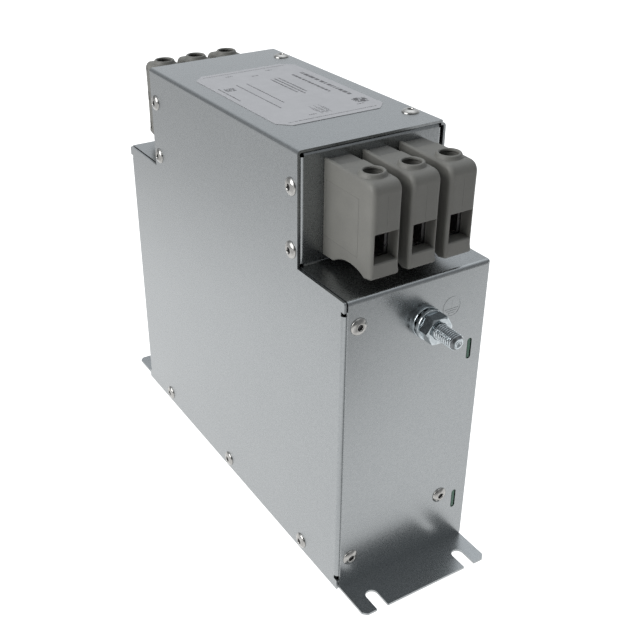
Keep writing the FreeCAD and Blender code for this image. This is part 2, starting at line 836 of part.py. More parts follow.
def hollow_block(block):
    """Wire entry, clamp chamber, channel of the current bar and bore of the clamp screw."""
    reach = S.terminal_reach
    entry = block.sketch("XZ_Plane", reach)
    half_w, half_h = S.entry_width / 2, S.entry_height / 2
    rectangle(entry, -half_w, ENTRY_HEIGHT - half_h, half_w, ENTRY_HEIGHT + half_h)
    block.cut(entry, S.entry_depth)
    chamber = block.sketch("XZ_Plane", reach - S.entry_depth)
    half_w = S.chamber_width / 2
    low = ENTRY_HEIGHT - half_h - S.cage_wall - S.cage_fit
    rectangle(chamber, -half_w, low, half_w, low + S.chamber_height)
    block.cut(chamber, S.chamber_depth)
    channel = block.sketch("XZ_Plane", reach - S.entry_depth - S.chamber_depth)
    half_w = S.bar_width / 2 + S.bar_fit
    top = bar_top() + S.bar_fit
    rectangle(channel, -half_w, top - S.bar_thickness - 2 * S.bar_fit, half_w, top)
    block.cut(channel, reach)
    bore = block.sketch("XY_Plane", TERMINAL_TOP + S.boss_height)
    circle(bore, 0, -S.screw_place, S.screw_bore)
    chamber_top = low + S.chamber_height
    block.cut(bore, TERMINAL_TOP + S.boss_height - chamber_top + S.cage_wall)


def bar_top():
    """Upper face of the current bars: it lies against the top of the clamp cage's mouth."""
    return ENTRY_HEIGHT + S.cage_mouth / 2 - S.bar_fit


def place_terminal(body, end, row):
    """Moves a terminal piece from the wall's own frame to its place on the case."""
    y = end.y + end.hand * TERMINAL_WALL
    move(body, x=terminal_x(row), y=y, turned=end.turned)


def cage_height():
    """Height of a clamp cage, which is free to slide in the chamber of its terminal."""
    return S.chamber_height - 2 * S.cage_fit


def make_clamp_cage(end, side, row):
    """Steel sleeve round the wire and the current bar; the clamp screw draws it up."""
    cage = Piece(f"{end.label}_clamp_cage_{side}")
    half = S.chamber_width / 2 - S.cage_fit
    low = ENTRY_HEIGHT - S.entry_height / 2 - S.cage_wall
    start = S.terminal_reach - S.entry_depth - S.cage_fit
    body = cage.sketch("XZ_Plane", start)
    rectangle(body, -half, low, half, low + cage_height())
    cage.pad(body, S.cage_length, backward=True)
    mouth = cage.sketch("XZ_Plane", start)
    inner, half_mouth = half - S.cage_wall, S.cage_mouth / 2
    rectangle(mouth, -inner, ENTRY_HEIGHT - half_mouth, inner, ENTRY_HEIGHT + half_mouth)
    cage.cut(mouth, S.cage_length)
    thread = cage.sketch("XY_Plane", low + cage_height())
    circle(thread, 0, -S.screw_place, S.screw_thread + S.bar_fit)
    cage.cut(thread, cage_height() / 2)
    place_terminal(cage.body, end, row)
    return cage


def make_current_bar(end, side, row):
    """Copper bar from the clamp through the wall to the choke lead inside the case."""
    bar = Piece(f"{end.label}_current_bar_{side}")
    start = S.terminal_reach - S.entry_depth - S.cage_length / 4
    half = S.bar_width / 2
    top = bar_top()
    outline = bar.sketch("XZ_Plane", start)
    rectangle(outline, -half, top - S.bar_thickness, half, top)
    bar.pad(outline, start + S.spigot_length + S.bar_tail, backward=True)
    place_terminal(bar.body, end, row)
    return bar


def make_clamp_screws(end):
    """The three like clamp screws of one end, each standing on its current bar."""
    screws = Piece(f"{end.label}_clamp_screws")
    top = bar_top() + S.screw_length
    middles = [(end.hand * terminal_x(row), -S.screw_place) for _, row in ROWS]
    shanks = screws.sketch("XY_Plane", bar_top())
    for x, y in middles:
        circle(shanks, x, y, S.screw_thread)
    screws.pad(shanks, S.screw_length)
    sockets = screws.sketch("XY_Plane", top)
    for x, y in middles:
        hexagon(sockets, x, y, S.screw_socket, 0)
    screws.cut(sockets, S.socket_depth)
    move(screws.body, y=end.y + end.hand * TERMINAL_WALL, turned=end.turned)
    return screws


def place_on_wall(body, end, out):
    """Sets a piece of the earth stud on the wall's outer face, moved outward."""
    y = end.y - end.hand * out
    move(body, x=S.stud_offset, y=y, z=STUD_HEIGHT, turned=end.turned)


def make_stud_set(end):
    """Earth stud with its flat washers, toothed lock washer and hexagon nut. Inside the
    nut both threads are drawn at their pitch diameter, where they meet."""
    bore = S.stud_thread + S.stud_fit
    stack = 2 * S.washer_thickness + S.lock_thickness
    stud = Piece(f"{end.label}_earth_stud")
    head = stud.sketch("XZ_Plane", -S.sheet)
    circle(head, 0, 0, S.stud_head)
    stud.pad(head, S.stud_head_thickness, backward=True)
    shank = stud.sketch("XZ_Plane", -S.sheet)
    circle(shank, 0, 0, S.stud_thread)
    stud.pad(shank, S.stud_reach + S.sheet)
    tip = stud.sketch("YZ_Plane")
    radius, bevel = S.stud_thread / 2, S.stud_thread / 8
    corners = [
        (-S.stud_reach, radius),
        (-S.stud_reach, radius - bevel),
        (-S.stud_reach + bevel, radius),
    ]
    stud.turn(polygon(tip, corners), "H_Axis", groove=True)
    engaged = stud.sketch("YZ_Plane")
    core = S.stud_pitch_diameter / 2
    rectangle(engaged, -stack - S.nut_height - S.stud_runout, core, -stack, radius + S.stud_fit)
    stud.turn(engaged, "H_Axis", groove=True)
    place_on_wall(stud.body, end, 0)

    washers = Piece(f"{end.label}_flat_washers")
    for out in (size_of(0), S.washer_thickness + S.lock_thickness):
        ring = washers.sketch("XZ_Plane", out)
        circle(ring, 0, 0, S.washer_diameter)
        circle(ring, 0, 0, bore)
        washers.pad(ring, S.washer_thickness)
    place_on_wall(washers.body, end, 0)

    lock = Piece(f"{end.label}_lock_washer")
    face = lock.sketch("XZ_Plane")
    circle(face, 0, 0, S.lock_diameter)
    circle(face, 0, 0, bore)
    lock.pad(face, S.lock_thickness)
    notch = lock.sketch("XZ_Plane", S.lock_thickness)
    outer = S.lock_diameter / 2
    tooth = S.lock_tooth
    corners = [(outer - tooth, 0), (outer + tooth, -tooth), (outer + tooth, tooth)]
    pocket = lock.cut(polygon(notch, corners), S.lock_thickness)
    pattern = lock.body.newObject("PartDesign::PolarPattern", lock.name("pattern"))
    pattern.Originals = [pocket]
    pattern.Axis = (notch, ["N_Axis"])
    pattern.Angle = 360.0
    pattern.Occurrences = LOCK_TEETH
    lock.body.Tip = pattern
    place_on_wall(lock.body, end, S.washer_thickness)

    nut = Piece(f"{end.label}_earth_nut")
    face = hexagon(nut.sketch("XZ_Plane"), 0, 0, S.nut_flats, NUT_TURN_DEG)
    circle(face, 0, 0, S.stud_pitch_diameter + S.stud_fit)
    nut.pad(face, S.nut_height)
    place_on_wall(nut.body, end, stack)
    return [stud, washers, lock, nut]


def make_board():
    """Circuit board on edge, held by its tabs in the slots of the end walls."""
    board = Piece("circuit_board")
    side = HALF_LENGTH - S.sheet - S.board_gap
    tab = HALF_LENGTH - S.tab_depth
    half = S.tab_length / 2 - S.tab_fit
    outline = both_ends(
        [
            (-side, S.board_bottom),
            (-side, S.tab_low - half),
            (-tab, S.tab_low - half),
            (-tab, S.tab_low + half),
            (-side, S.tab_low + half),
            (-side, S.tab_high - half),
            (-tab, S.tab_high - half),
            (-tab, S.tab_high + half),
            (-side, S.tab_high + half),
            (-side, BOARD_TOP),
        ]
    )
    board.pad(polygon(board.sketch("YZ_Plane", BOARD_FACE), outline), S.board_thickness)
    return board


def make_capacitor(label, y, z, length, height, depth):
    """Boxed film capacitor, seated on the board."""
    capacitor = Piece(label)
    face = capacitor.sketch("YZ_Plane")
    rectangle(face, -length / 2, -height / 2, length / 2, height / 2)
    capacitor.pad(face, depth, backward=True)
    move(capacitor.body, x=BOARD_FACE, y=y, z=z)
    return capacitor


def make_capacitors():
    """Three capacitors between the phases and one to earth on each side of the choke."""
    pieces = []
    room = PART_ROW - S.part_row_room - S.filter_cap_low
    height = (room - 2 * S.filter_cap_gap) / 3
    for name, sign in (("line", -1), ("load", 1)):
        y = sign * (HALF_LENGTH - S.filter_cap_end)
        for k in range(3):
            z = S.filter_cap_low + height / 2 + (height + S.filter_cap_gap) * k
            size = (S.filter_cap_length, height, S.filter_cap_depth)
            pieces.append(make_capacitor(f"x_capacitor_{name}_{k + 1}", y, z, *size))
        size = (S.earth_cap_length, S.earth_cap_height, S.earth_cap_depth)
        pieces.append(make_capacitor(f"y_capacitor_{name}", y, PART_ROW, *size))
    return pieces


def make_resistor(number):
    """Discharge resistor lying along the board on its two bent leads."""
    resistor = Piece(f"discharge_resistor_{number}")
    axis = S.lead_standoff + S.resistor_diameter / 2
    rod = resistor.sketch("XZ_Plane", S.resistor_length / 2)
    circle(rod, -axis, 0, S.resistor_diameter)
    resistor.pad(rod, S.resistor_length, backward=True)
    wire = S.lead_diameter / 2
    for sign in (-1, 1):
        start = sign * S.resistor_length / 2
        bend = sign * (S.resistor_length / 2 + S.resistor_diameter)
        near = bend - sign * S.lead_diameter
        corners = [
            (-axis - wire, start),
            (-axis + wire, start),
            (-axis + wire, near),
            (0, near),
            (0, bend),
            (-axis - wire, bend),
        ]
        resistor.pad(polygon(resistor.sketch("XY_Plane", -wire), corners), S.lead_diameter)
    y = S.resistor_pitch * (number - 2)
    move(resistor.body, x=BOARD_FACE, y=y, z=PART_ROW)
    return resistor


def make_core():
    """Toroidal core of the choke, its axis along the case."""
    core = Piece("choke_core")
    face = core.sketch("XZ_Plane", S.core_length / 2)
    circle(face, 0, 0, CORE_OUTSIDE)
    circle(face, 0, 0, S.core_inside)
    core.pad(face, S.core_length, backward=True)
    move(core.body, x=CHOKE_SIDE, z=S.choke_height)
    return core


def make_winding(side, row, middle_deg):
    """One winding of the choke, wound round a sector of the core, with its two leads
    that rise to the underside of the front and rear current bars."""
    winding = Piece(f"winding_{side}")
    outer = CORE_OUTSIDE / 2 + S.core_fit
    inner = S.core_inside / 2 - S.core_fit
    half = S.core_length / 2 + S.core_fit
    depth = S.winding_depth
    section = winding.sketch("XY_Plane")
    turn = Rotation(Vector(0, 1, 0), -middle_deg)
    section.AttachmentOffset = Placement(Vector(0, 0, 0), turn)
    rectangle(section, inner - depth, -half - depth, outer + depth, half + depth)
    rectangle(section, inner, -half, outer, half)
    sector = winding.turn(section, "V_Axis", angle=WINDING_SECTOR_DEG)
    sector.Midplane = True
    angle = math.radians(middle_deg)
    foot = outer + depth - S.strip_width / 2
    foot_x, foot_z = foot * math.cos(angle), foot * math.sin(angle)
    top_x = terminal_x(row) - CHOKE_SIDE
    top_z = bar_top() - S.bar_thickness - S.choke_height
    half_strip = S.strip_width / 2
    face = half + depth
    reach = STEP - S.wall_recess - S.spigot_length - S.bar_tail + S.bar_width
    for sign in (-1, 1):
        leg = winding.sketch("XZ_Plane", sign * face)
        corners = [(foot_x - half_strip, foot_z), (foot_x + half_strip, foot_z)]
        corners += [(top_x + half_strip, top_z), (top_x - half_strip, top_z)]
        winding.pad(polygon(leg, corners), S.strip, backward=sign < 0)
        arm = winding.sketch("XZ_Plane", sign * face)
        rectangle(arm, top_x - half_strip, top_z - S.strip, top_x + half_strip, top_z)
        winding.pad(arm, reach - face, backward=sign < 0)
    move(winding.body, x=CHOKE_SIDE, z=S.choke_height)
    return winding


def make_cradle():
    """Moulded stand under the core, its top hollowed to the core's radius."""
    cradle = Piece("choke_cradle")
    web, foot = S.cradle_web / 2, S.cradle_foot / 2
    base, plate = S.sheet, S.cradle_sheet
    top = S.choke_height - CORE_OUTSIDE / 2 + S.cradle_sheet
    corners = both_ends([(-foot, base), (-foot, base + plate), (-web, base + plate), (-web, top)])
    outline = cradle.sketch("XZ_Plane", S.core_length / 2)
    cradle.pad(polygon(outline, corners), S.core_length, backward=True)
    seat = cradle.sketch("XZ_Plane", S.core_length / 2)
    circle(seat, 0, S.choke_height, CORE_OUTSIDE)
    cradle.cut(seat, S.core_length)
    move(cradle.body, x=CHOKE_SIDE)
    return cradle


def make_bracket(end):
    """Angle bracket that the single right-hand rivet of the end wall holds."""
    bracket = Piece(f"{end.label}_inner_bracket")
    sheet = S.sheet
    profile = [
        (sheet, sheet),
        (sheet + S.bracket_foot, sheet),
        (sheet + S.bracket_foot, 2 * sheet),
        (2 * sheet, 2 * sheet),
        (2 * sheet, S.bracket_height),
        (sheet, S.bracket_height),
    ]
    middle = end.hand * BRACKET_SIDE
    outline = bracket.sketch("YZ_Plane", middle - S.bracket_width / 2)
    bracket.pad(polygon(outline, profile), S.bracket_width)
    bracket.round_edges(S.bend_radius + sheet, [{"y": sheet, "z": sheet}])
    bracket.round_edges(S.bend_radius, [{"y": 2 * sheet, "z": 2 * sheet}])
    move(bracket.body, y=end.y, turned=end.turned)
    return bracket


def make_insulation():
    """Thin insulating sheet on the inside of the right panel, behind the board."""
    sheet = Piece("insulating_sheet")
    side = HALF_LENGTH - S.insulation_margin
    outline = sheet.sketch("YZ_Plane", HALF_WIDTH - S.sheet - S.stack_gap)
    rectangle(outline, -side, S.base_upstand + S.bend_radius, side, BOARD_TOP)
    sheet.pad(outline, S.insulation, backward=True)
    return sheet


def make_filter():
    """Every sub-part of the filter, outside first."""
    pieces = [make_cover(), make_right_panel(), make_base_plate(), make_label()]
    pieces += make_all_rivets()
    for end in ENDS:
        pieces.append(make_end_wall(end))
        pieces.append(make_bracket(end))
        for side, row in ROWS:
            pieces.append(make_terminal_block(end, side, row))
            pieces.append(make_clamp_cage(end, side, row))
            pieces.append(make_current_bar(end, side, row))
        pieces.append(make_clamp_screws(end))
        pieces += make_stud_set(end)
    pieces += [make_board(), make_insulation()]
    pieces += make_capacitors()
    pieces += [make_resistor(number) for number in (1, 2, 3)]
    pieces += [make_core(), make_cradle()]
    for (side, row), middle_deg in zip(ROWS, WINDING_PLACES_DEG):
        pieces.append(make_winding(side, row, middle_deg))
    return pieces


def write_parts(pieces):
    """Checks the whole document, then writes one file for each sub-part."""
    doc.recompute()
    failed = [o.Name for o in doc.Objects if {"Invalid", "Error"} & set(o.State)]
    if failed:
        raise RuntimeError(f"failed objects: {failed}")
    for piece in pieces:
        shape = piece.body.Shape
        if shape.isNull() or not shape.isValid() or not shape.Solids:
            raise RuntimeError(f"bad shape: {piece.body.Label}")
    os.makedirs("parts", exist_ok=True)
    for piece in pieces:
        piece.body.Shape.exportStep(f"parts/{piece.body.Label}.step")


write_parts(make_filter())
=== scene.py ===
import json
import math
import random

import bmesh
import bpy
from mathutils import Euler, Matrix, Vector


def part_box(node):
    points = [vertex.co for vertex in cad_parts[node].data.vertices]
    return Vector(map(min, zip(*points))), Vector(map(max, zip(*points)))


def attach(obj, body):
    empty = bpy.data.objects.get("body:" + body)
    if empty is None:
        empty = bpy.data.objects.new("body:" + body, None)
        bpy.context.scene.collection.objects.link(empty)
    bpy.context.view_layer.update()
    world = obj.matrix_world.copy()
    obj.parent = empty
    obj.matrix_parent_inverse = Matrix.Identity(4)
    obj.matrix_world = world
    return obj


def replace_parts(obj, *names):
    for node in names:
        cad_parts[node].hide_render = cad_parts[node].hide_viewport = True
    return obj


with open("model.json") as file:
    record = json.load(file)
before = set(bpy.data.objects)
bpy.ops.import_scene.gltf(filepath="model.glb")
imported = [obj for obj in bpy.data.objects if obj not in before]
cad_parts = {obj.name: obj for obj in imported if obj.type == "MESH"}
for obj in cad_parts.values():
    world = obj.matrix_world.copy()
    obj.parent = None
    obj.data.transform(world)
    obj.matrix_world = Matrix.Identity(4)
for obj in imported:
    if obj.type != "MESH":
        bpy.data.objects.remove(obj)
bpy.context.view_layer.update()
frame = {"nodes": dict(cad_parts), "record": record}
NODES = frame["nodes"]
MM = 0.001
ENDS = (("front", -1), ("rear", 1))
SIDES = ("left", "middle", "right")

# Named lengths are in mm. A terminal block is drawn in a frame of its own: the face of the
# terminal wall at y 0, the block's front at a negative y, heights above the base.
BLOCK_TOP = 214.2
BLOCK_FOOT = 168.5
BLOCK_REACH = 37.9
FRONT_HALF_WIDTH = 7.6
WALL_HALF_WIDTH = 6.9
BOSS_TOP = 216.1
BOSS_PLACE = -26.3
ENTRY_HALF_WIDTH = 5.9
ENTRY_LOW = 178.6
ENTRY_HIGH = 192.0
ENTRY_FLARE = 1.11
CHAMBER_HALF_WIDTH = 5.7
CHAMBER_LOW = 177.1
CHAMBER_HIGH = 204.1
CHAMBER_FRONT = -31.5
CHAMBER_BACK = -17.9
MARKER_FLOOR = 213.4
LATCH_PITCH = 17.6
FLANK_FRAME = (-27.5, 178.0, -2.0, 205.0)
FLANK_LINE = 0.3

# Earth stud, nut and washers, whose common axis lies a little below that of the solids.
# The stud ends a little short of its solid's tip, and the nut is taller than its solid.
STUD_DROP = 0.4
STUD_SHORTER = 0.6
STUD_HEAD_RADIUS = 5.95
STUD_HEAD_THICK = 3.0
STUD_SHANK_RADIUS = 2.98
STUD_MAJOR = 3.9
STUD_STEPS = 48
THREAD_START = 4.3
THREAD_PITCH = 1.25
THREAD_DEPTH = 0.72
THREAD_FLAT = 0.12
ROOT_DEPTH = 0.38
ROWS_PER_MM = 10
TIP_RADIUS = 2.6
TIP_SLOPE = 0.9
NUT_TALLER = 1.1
NUT_HALF_FLATS = 6.4
NUT_CHAMFER_DEG = 28.0
WASHER_HOLE = 4.1
WASHER_RADIUS = 7.6
WASHER_THICK = 1.6
LOCK_SPACE = 1.5
LOCK_HALF_THICK = 0.42
LOCK_RING_RADIUS = 5.5
LOCK_TEETH = 12
# Sections of a tooth: reach from the axis, half width and twist in degrees.
LOCK_TOOTH = ((5.4, 0.72, 0.0), (6.4, 0.86, 14.0), (7.35, 0.95, 24.0))

# Blind rivets: vertices of a node nearer than the span belong to one head, and the sink
# leads from its middle to its seat. The outlines are (radius, height) above the seat.
RIVET_SPAN = 12.0
RIVET_SINK = 0.75
RIVET_PROFILE = [
    (4.25, 0.0),
    (4.25, 0.18),
    (4.08, 0.46),
    (3.65, 0.80),
    (3.0, 1.12),
    (2.4, 1.34),
    (1.95, 1.46),
    (1.7, 1.45),
    (1.52, 1.3),
    (1.42, 0.95),
]
MANDREL_PROFILE = [(1.42, 0.95), (1.40, 0.35), (0.95, 0.28), (0.4, 0.42), (0.0, 0.45)]

# Print on the label. Rows run along it: place across, start from the rear and length, as
# shares of the label, then the height of the marks. Notes are short rows across it.
INK = 0.02
LABEL_ROWS = (
    (0.91, 0.22, 0.50, 2.1),
    (0.81, 0.23, 0.39, 1.5),
    (0.65, 0.25, 0.30, 1.0),
    (0.61, 0.25, 0.33, 1.0),
    (0.57, 0.26, 0.28, 1.0),
    (0.33, 0.26, 0.40, 0.7),
    (0.235, 0.255, 0.48, 0.7),
    (0.05, 0.27, 0.25, 0.7),
)
LABEL_NOTES = ((0.27, 0.09), (0.48, 0.15), (0.67, 0.09), (0.33, 0.91), (0.80, 0.89))
END_ROW_INSET = 3.6
END_ROW_MARGIN = 5.5
DOTS = 9
DOT_PITCH = 0.8
DOT_WIDTH = 0.78
DOT_SHARE = 0.62
COIL_PITCH = 2.6
COIL_LINE = 0.22
COIL_LEAD = 3.5

# Raised earth sign: its place beside and above the stud's axis, and its bars as half
# width and height from the middle of the ring.
SIGN_BESIDE = 15.5
SIGN_ABOVE = 2.4
SIGN_BARS = ((3.9, -1.5), (2.9, -2.6), (1.8, -3.7))

# Light by place. Each ramp has a direction, where it starts and stops along that direction
# from the origin (in metres on the floor, as a share of one for the sky), and the strength
# before and after.
FLOOR_LEFT = {"along": (-0.961, 0.276, 0), "start": 0.15, "stop": 0.43, "near": 1.20, "far": 0.66}
FLOOR_FRONT = {"along": (-0.509, -0.861, 0), "start": 0.156, "stop": 0.261, "near": 1, "far": 0.28}
FLOOR_BESIDE = {"along": (1, 0, 0), "start": -0.16, "stop": 0.1, "near": 1, "far": 0}
SKY_REAR = {"along": (0, 1, 0), "start": -0.5, "stop": 0.5, "near": 0.38, "far": 0.89}
SKY_ZENITH = {"along": (0, 0, 1), "start": 0.5, "stop": 1, "near": 1, "far": 2.8}
SKY_RIGHT = {"along": (1, 0, 0), "start": -0.4, "stop": 0.4, "near": 0.45, "far": 1}
FLOOR_SIZE = 12.0
FLOOR_GAP = 0.0004
KEY_PLACE = (-1.3, 0.1, 0.8)
KEY_SIZE = 1.0
KEY_POWER = 20.5
KEY_AIM = (0, 0, 0.12)

# The camera at the photograph's station: place in metres, then azimuth, elevation and roll.
CAMERA_PLACE = (-0.23807, -0.39813, 0.35718)
CAMERA_TURN_DEG = (-30.6077, 29.4750, -0.4609)
CAMERA_LENS = 53.16
CAMERA_SHIFT = (0.05845, -0.01625)


class Shader:
    """A node material built up by short calls; coordinates are the object's own, in metres."""

    def __init__(self, name):
        self.material = bpy.data.materials.new(name)
        self.material.use_nodes = True
        self.tree = self.material.node_tree
        self.nodes = self.tree.nodes
        self.surface = self.nodes["Principled BSDF"]
        self.place = self.nodes.new("ShaderNodeTexCoord").outputs["Object"]

    def link(self, source, target):
        self.tree.links.new(source, target)

    def set(self, **values):
        """Constant inputs of the surface shader, by name with underscores for spaces."""
        for name, value in values.items():
            socket = self.surface.inputs[name.replace("_", " ").title()]
            socket.default_value = (*value, 1.0) if isinstance(value, tuple) else value

    def noise(self, size_mm, detail=2.0, stretch=None):
        """Noise whose features are about size_mm across, stretched along an axis if asked."""
        texture = self.nodes.new("ShaderNodeTexNoise")
        texture.inputs["Scale"].default_value = 1.0 / (size_mm * MM)
        texture.inputs["Detail"].default_value = detail
        place = self.place
        if stretch is not None:
            mapping = self.nodes.new("ShaderNodeMapping")
            mapping.inputs["Scale"].default_value = stretch
            self.link(self.place, mapping.inputs["Vector"])
            place = mapping.outputs["Vector"]
        self.link(place, texture.inputs["Vector"])
        return texture.outputs["Fac"]

    def cells(self, size_mm):
        """A random value for each cell of a pattern of cells about size_mm across."""
        texture = self.nodes.new("ShaderNodeTexVoronoi")
        texture.inputs["Scale"].default_value = 1.0 / (size_mm * MM)
        self.link(self.place, texture.inputs["Vector"])
        split = self.nodes.new("ShaderNodeSeparateColor")
        self.link(texture.outputs["Color"], split.inputs["Color"])
        return split.outputs["Red"]

    def blend(self, first, second, share):
        """A value part of the way from the first to the second."""
        mix = self.nodes.new("ShaderNodeMix")
        mix.inputs["Factor"].default_value = share
        self.link(first, mix.inputs["A"])
        self.link(second, mix.inputs["B"])
        return mix.outputs["Result"]

    def colour(self, value, stops):
        """Colours the surface by a value between 0 and 1, from stops of (position, colour)."""
        ramp = self.nodes.new("ShaderNodeValToRGB")
        points = ramp.color_ramp.elements
        for point, (position, shade) in zip(points, stops):
            point.position = position
            point.color = (*shade, 1.0)
        self.link(value, ramp.inputs["Fac"])
        self.link(ramp.outputs["Color"], self.surface.inputs["Base Color"])

    def roughness(self, value, low, high):
        """Drives the roughness between two ends with a value between 0.25 and 0.75."""
        remap = self.nodes.new("ShaderNodeMapRange")
        remap.inputs["From Min"].default_value = 0.25
        remap.inputs["From Max"].default_value = 0.75
        remap.inputs["To Min"].default_value = low
        remap.inputs["To Max"].default_value = high
        self.link(value, remap.inputs["Value"])
        self.link(remap.outputs["Result"], self.surface.inputs["Roughness"])

    def relief(self, value, depth_mm, strength=0.5, edge_mm=None):
        """A bump of the given depth, over edges softened by a small radius if asked."""
        bump = self.nodes.new("ShaderNodeBump")
        bump.inputs["Distance"].default_value = depth_mm * MM
        bump.inputs["Strength"].default_value = strength
        self.link(value, bump.inputs["Height"])
        if edge_mm is not None:
            bevel = self.nodes.new("ShaderNodeBevel")
            bevel.samples = 4
            bevel.inputs["Radius"].default_value = edge_mm * MM
            self.link(bevel.outputs["Normal"], bump.inputs["Normal"])
        self.link(bump.outputs["Normal"], self.surface.inputs["Normal"])


def galvanised_steel():
    """Sheet steel with a matt zinc coating: small spangle, fine grain, soft reflections."""
    steel = Shader("galvanised_steel")
    steel.set(metallic=1.0)
    spangle = steel.blend(steel.cells(0.7), steel.noise(0.5), 0.35)
    tone = steel.blend(spangle, steel.noise(35.0), 0.2)
    steel.colour(tone, [(0.2, (0.272, 0.286, 0.293)), (0.8, (0.314, 0.328, 0.334))])
    steel.roughness(spangle, 0.27, 0.30)
    return steel.material


def bright_steel(name, dark, light, rough):
    """Plated fastener steel with a faint unevenness."""
    steel = Shader(name)
    steel.set(metallic=1.0)
    stain = steel.noise(1.6, detail=4.0)
    steel.colour(stain, [(0.3, dark), (0.7, light)])
    steel.roughness(stain, rough * 0.8, rough * 1.25)
    steel.relief(steel.noise(0.35), 0.006)
    return steel.material


def moulding(name, dark, light, rough=0.55, grain_mm=0.35):
    """Moulded plastic with a fine eroded texture and slightly rounded edges."""
    plastic = Shader(name)
    tone = plastic.blend(plastic.noise(grain_mm), plastic.noise(9.0), 0.5)
    plastic.colour(tone, [(0.3, dark), (0.7, light)])
    plastic.roughness(plastic.noise(grain_mm * 2), rough - 0.06, rough + 0.08)
    plastic.relief(plastic.noise(grain_mm, detail=3.0), 0.02, edge_mm=0.3)
    return plastic.material


def copper(name, dark, light, rough, stretch):
    """Copper with a drawn or rolled grain."""
    metal = Shader(name)
    metal.set(metallic=1.0)
    grain = metal.noise(1.2, detail=3.0, stretch=stretch)
    metal.colour(grain, [(0.3, dark), (0.7, light)])
    metal.roughness(grain, rough * 0.85, rough * 1.2)
    metal.relief(grain, 0.03)
    return metal.material


def film(name, dark, light):
    """Thin satin film."""
    sheet = Shader(name)
    tone = sheet.blend(sheet.noise(0.3), sheet.noise(14.0), 0.5)
    sheet.colour(tone, [(0.3, dark), (0.7, light)])
    sheet.roughness(sheet.noise(5.0), 0.34, 0.44)
    sheet.relief(sheet.noise(3.0), 0.01, strength=0.4)
    return sheet.material


def slot_materials():
    """A material for each material slot of the record, from its dark to its light tone."""
    made = {
        "galvanised_case": galvanised_steel(),
        "rivet_steel": bright_steel(
            "rivet_steel", (0.30, 0.295, 0.285), (0.42, 0.415, 0.40), 0.24
        ),
        "clamp_steel": bright_steel("clamp_steel", (0.40, 0.40, 0.41), (0.52, 0.52, 0.52), 0.3),
        "zinc_plate": bright_steel("zinc_plate", (0.36, 0.40, 0.42), (0.52, 0.56, 0.58), 0.16),
        "copper": copper("tinned_copper", (0.60, 0.40, 0.30), (0.72, 0.50, 0.38), 0.3, (1, 0.1, 1)),
        "copper_wire": copper(
            "copper_wire", (0.42, 0.17, 0.07), (0.58, 0.27, 0.12), 0.28, (1, 0.05, 1)
        ),
    }
    for name, dark, light in (
        ("label_film", (0.29, 0.29, 0.302), (0.33, 0.33, 0.342)),
        ("insulating_film", (0.70, 0.70, 0.64), (0.80, 0.80, 0.74)),
    ):
        made[name] = film(name, dark, light)
    for name, dark, light, *finish_values in (
        ("terminal_moulding", (0.110, 0.109, 0.100), (0.135, 0.134, 0.122)),
        ("board_laminate", (0.006, 0.07, 0.038), (0.012, 0.10, 0.052), 0.3),
        ("capacitor_case", (0.62, 0.55, 0.12), (0.72, 0.65, 0.16)),
        ("earth_capacitor_case", (0.05, 0.12, 0.38), (0.07, 0.16, 0.48)),
        ("resistor_body", (0.22, 0.36, 0.42), (0.28, 0.44, 0.50), 0.35),
        ("ferrite", (0.035, 0.035, 0.04), (0.055, 0.055, 0.06), 0.6, 0.8),
        ("cradle_moulding", (0.02, 0.02, 0.02), (0.03, 0.03, 0.03)),
    ):
        made[name] = moulding(name, dark, light, *finish_values)
    return made


MATERIALS = slot_materials()
MANDREL = bright_steel("mandrel", (0.10, 0.10, 0.10), (0.16, 0.16, 0.16), 0.45)
# Painted shade: a darker steel for the deep faces of the stud's thread grooves.
THREAD_ROOT_SHADE = bright_steel("thread_root_painted_shade", (0.12, 0.13, 0.135), (0.21, 0.22, 0.23), 0.35)
# Painted shade: a near-black moulding for the faces inside the terminal's chamber.
CHAMBER_SHADE = moulding("chamber", (0.018, 0.018, 0.017), (0.028, 0.028, 0.026), 0.6)
# Painted shade: a darker moulding for the floor of the marker recess.
MARKER_FIELD_SHADE = moulding("marker_field_painted_shade", (0.098, 0.098, 0.092), (0.116, 0.116, 0.109), 0.5)
PRINT = moulding("label_ink", (0.055, 0.055, 0.06), (0.08, 0.08, 0.085), 0.5)


def dress_nodes():
    """Gives each CAD node the material of its slot in the record."""
    for part in frame["record"]["subparts"]:
        node = NODES[part["node"]]
        node.data.materials.clear()
        node.data.materials.append(MATERIALS[part["material_slot"]])


def node_box(node):
    """Low and high corners of a CAD node."""
    low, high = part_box(node)
    return Vector(low), Vector(high)


def piece(name, slot, material=None):
    """An empty mesh object that rides on the part, with a bmesh to fill."""
    mesh = bpy.data.meshes.new(name)
    mesh.materials.append(material or MATERIALS[slot])
    made = bpy.data.objects.new(name, mesh)
    bpy.context.collection.objects.link(made)
    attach(made, "root")
    return made, bmesh.new()


def finish(made, shape, smooth_deg=40.0):
    """Writes the bmesh to its object and shades it smooth up to an angle."""
    bmesh.ops.recalc_face_normals(shape, faces=shape.faces)
    for face in shape.faces:
        face.smooth = True
    for edge in shape.edges:
        if len(edge.link_faces) == 2:
            edge.smooth = edge.calc_face_angle(0.0) < math.radians(smooth_deg)
    shape.to_mesh(made.data)
    shape.free()
    return made


def merge(shape):
    """Joins the vertices that lie on each other."""
    bmesh.ops.remove_doubles(shape, verts=shape.verts, dist=1e-7)


def around(steps):
    """Angles evenly spread over a full turn."""
    return [2 * math.pi * k / steps for k in range(steps)]


def ring(shape, place, radii, heights):
    """Vertices about local Z, evenly spread, at the given radii and heights in mm."""
    spots = []
    for angle, radius, height in zip(around(len(radii)), radii, heights):
        spot = Vector((radius * math.cos(angle), radius * math.sin(angle), height))
        spots.append(shape.verts.new(place @ (spot * MM)))
    return spots


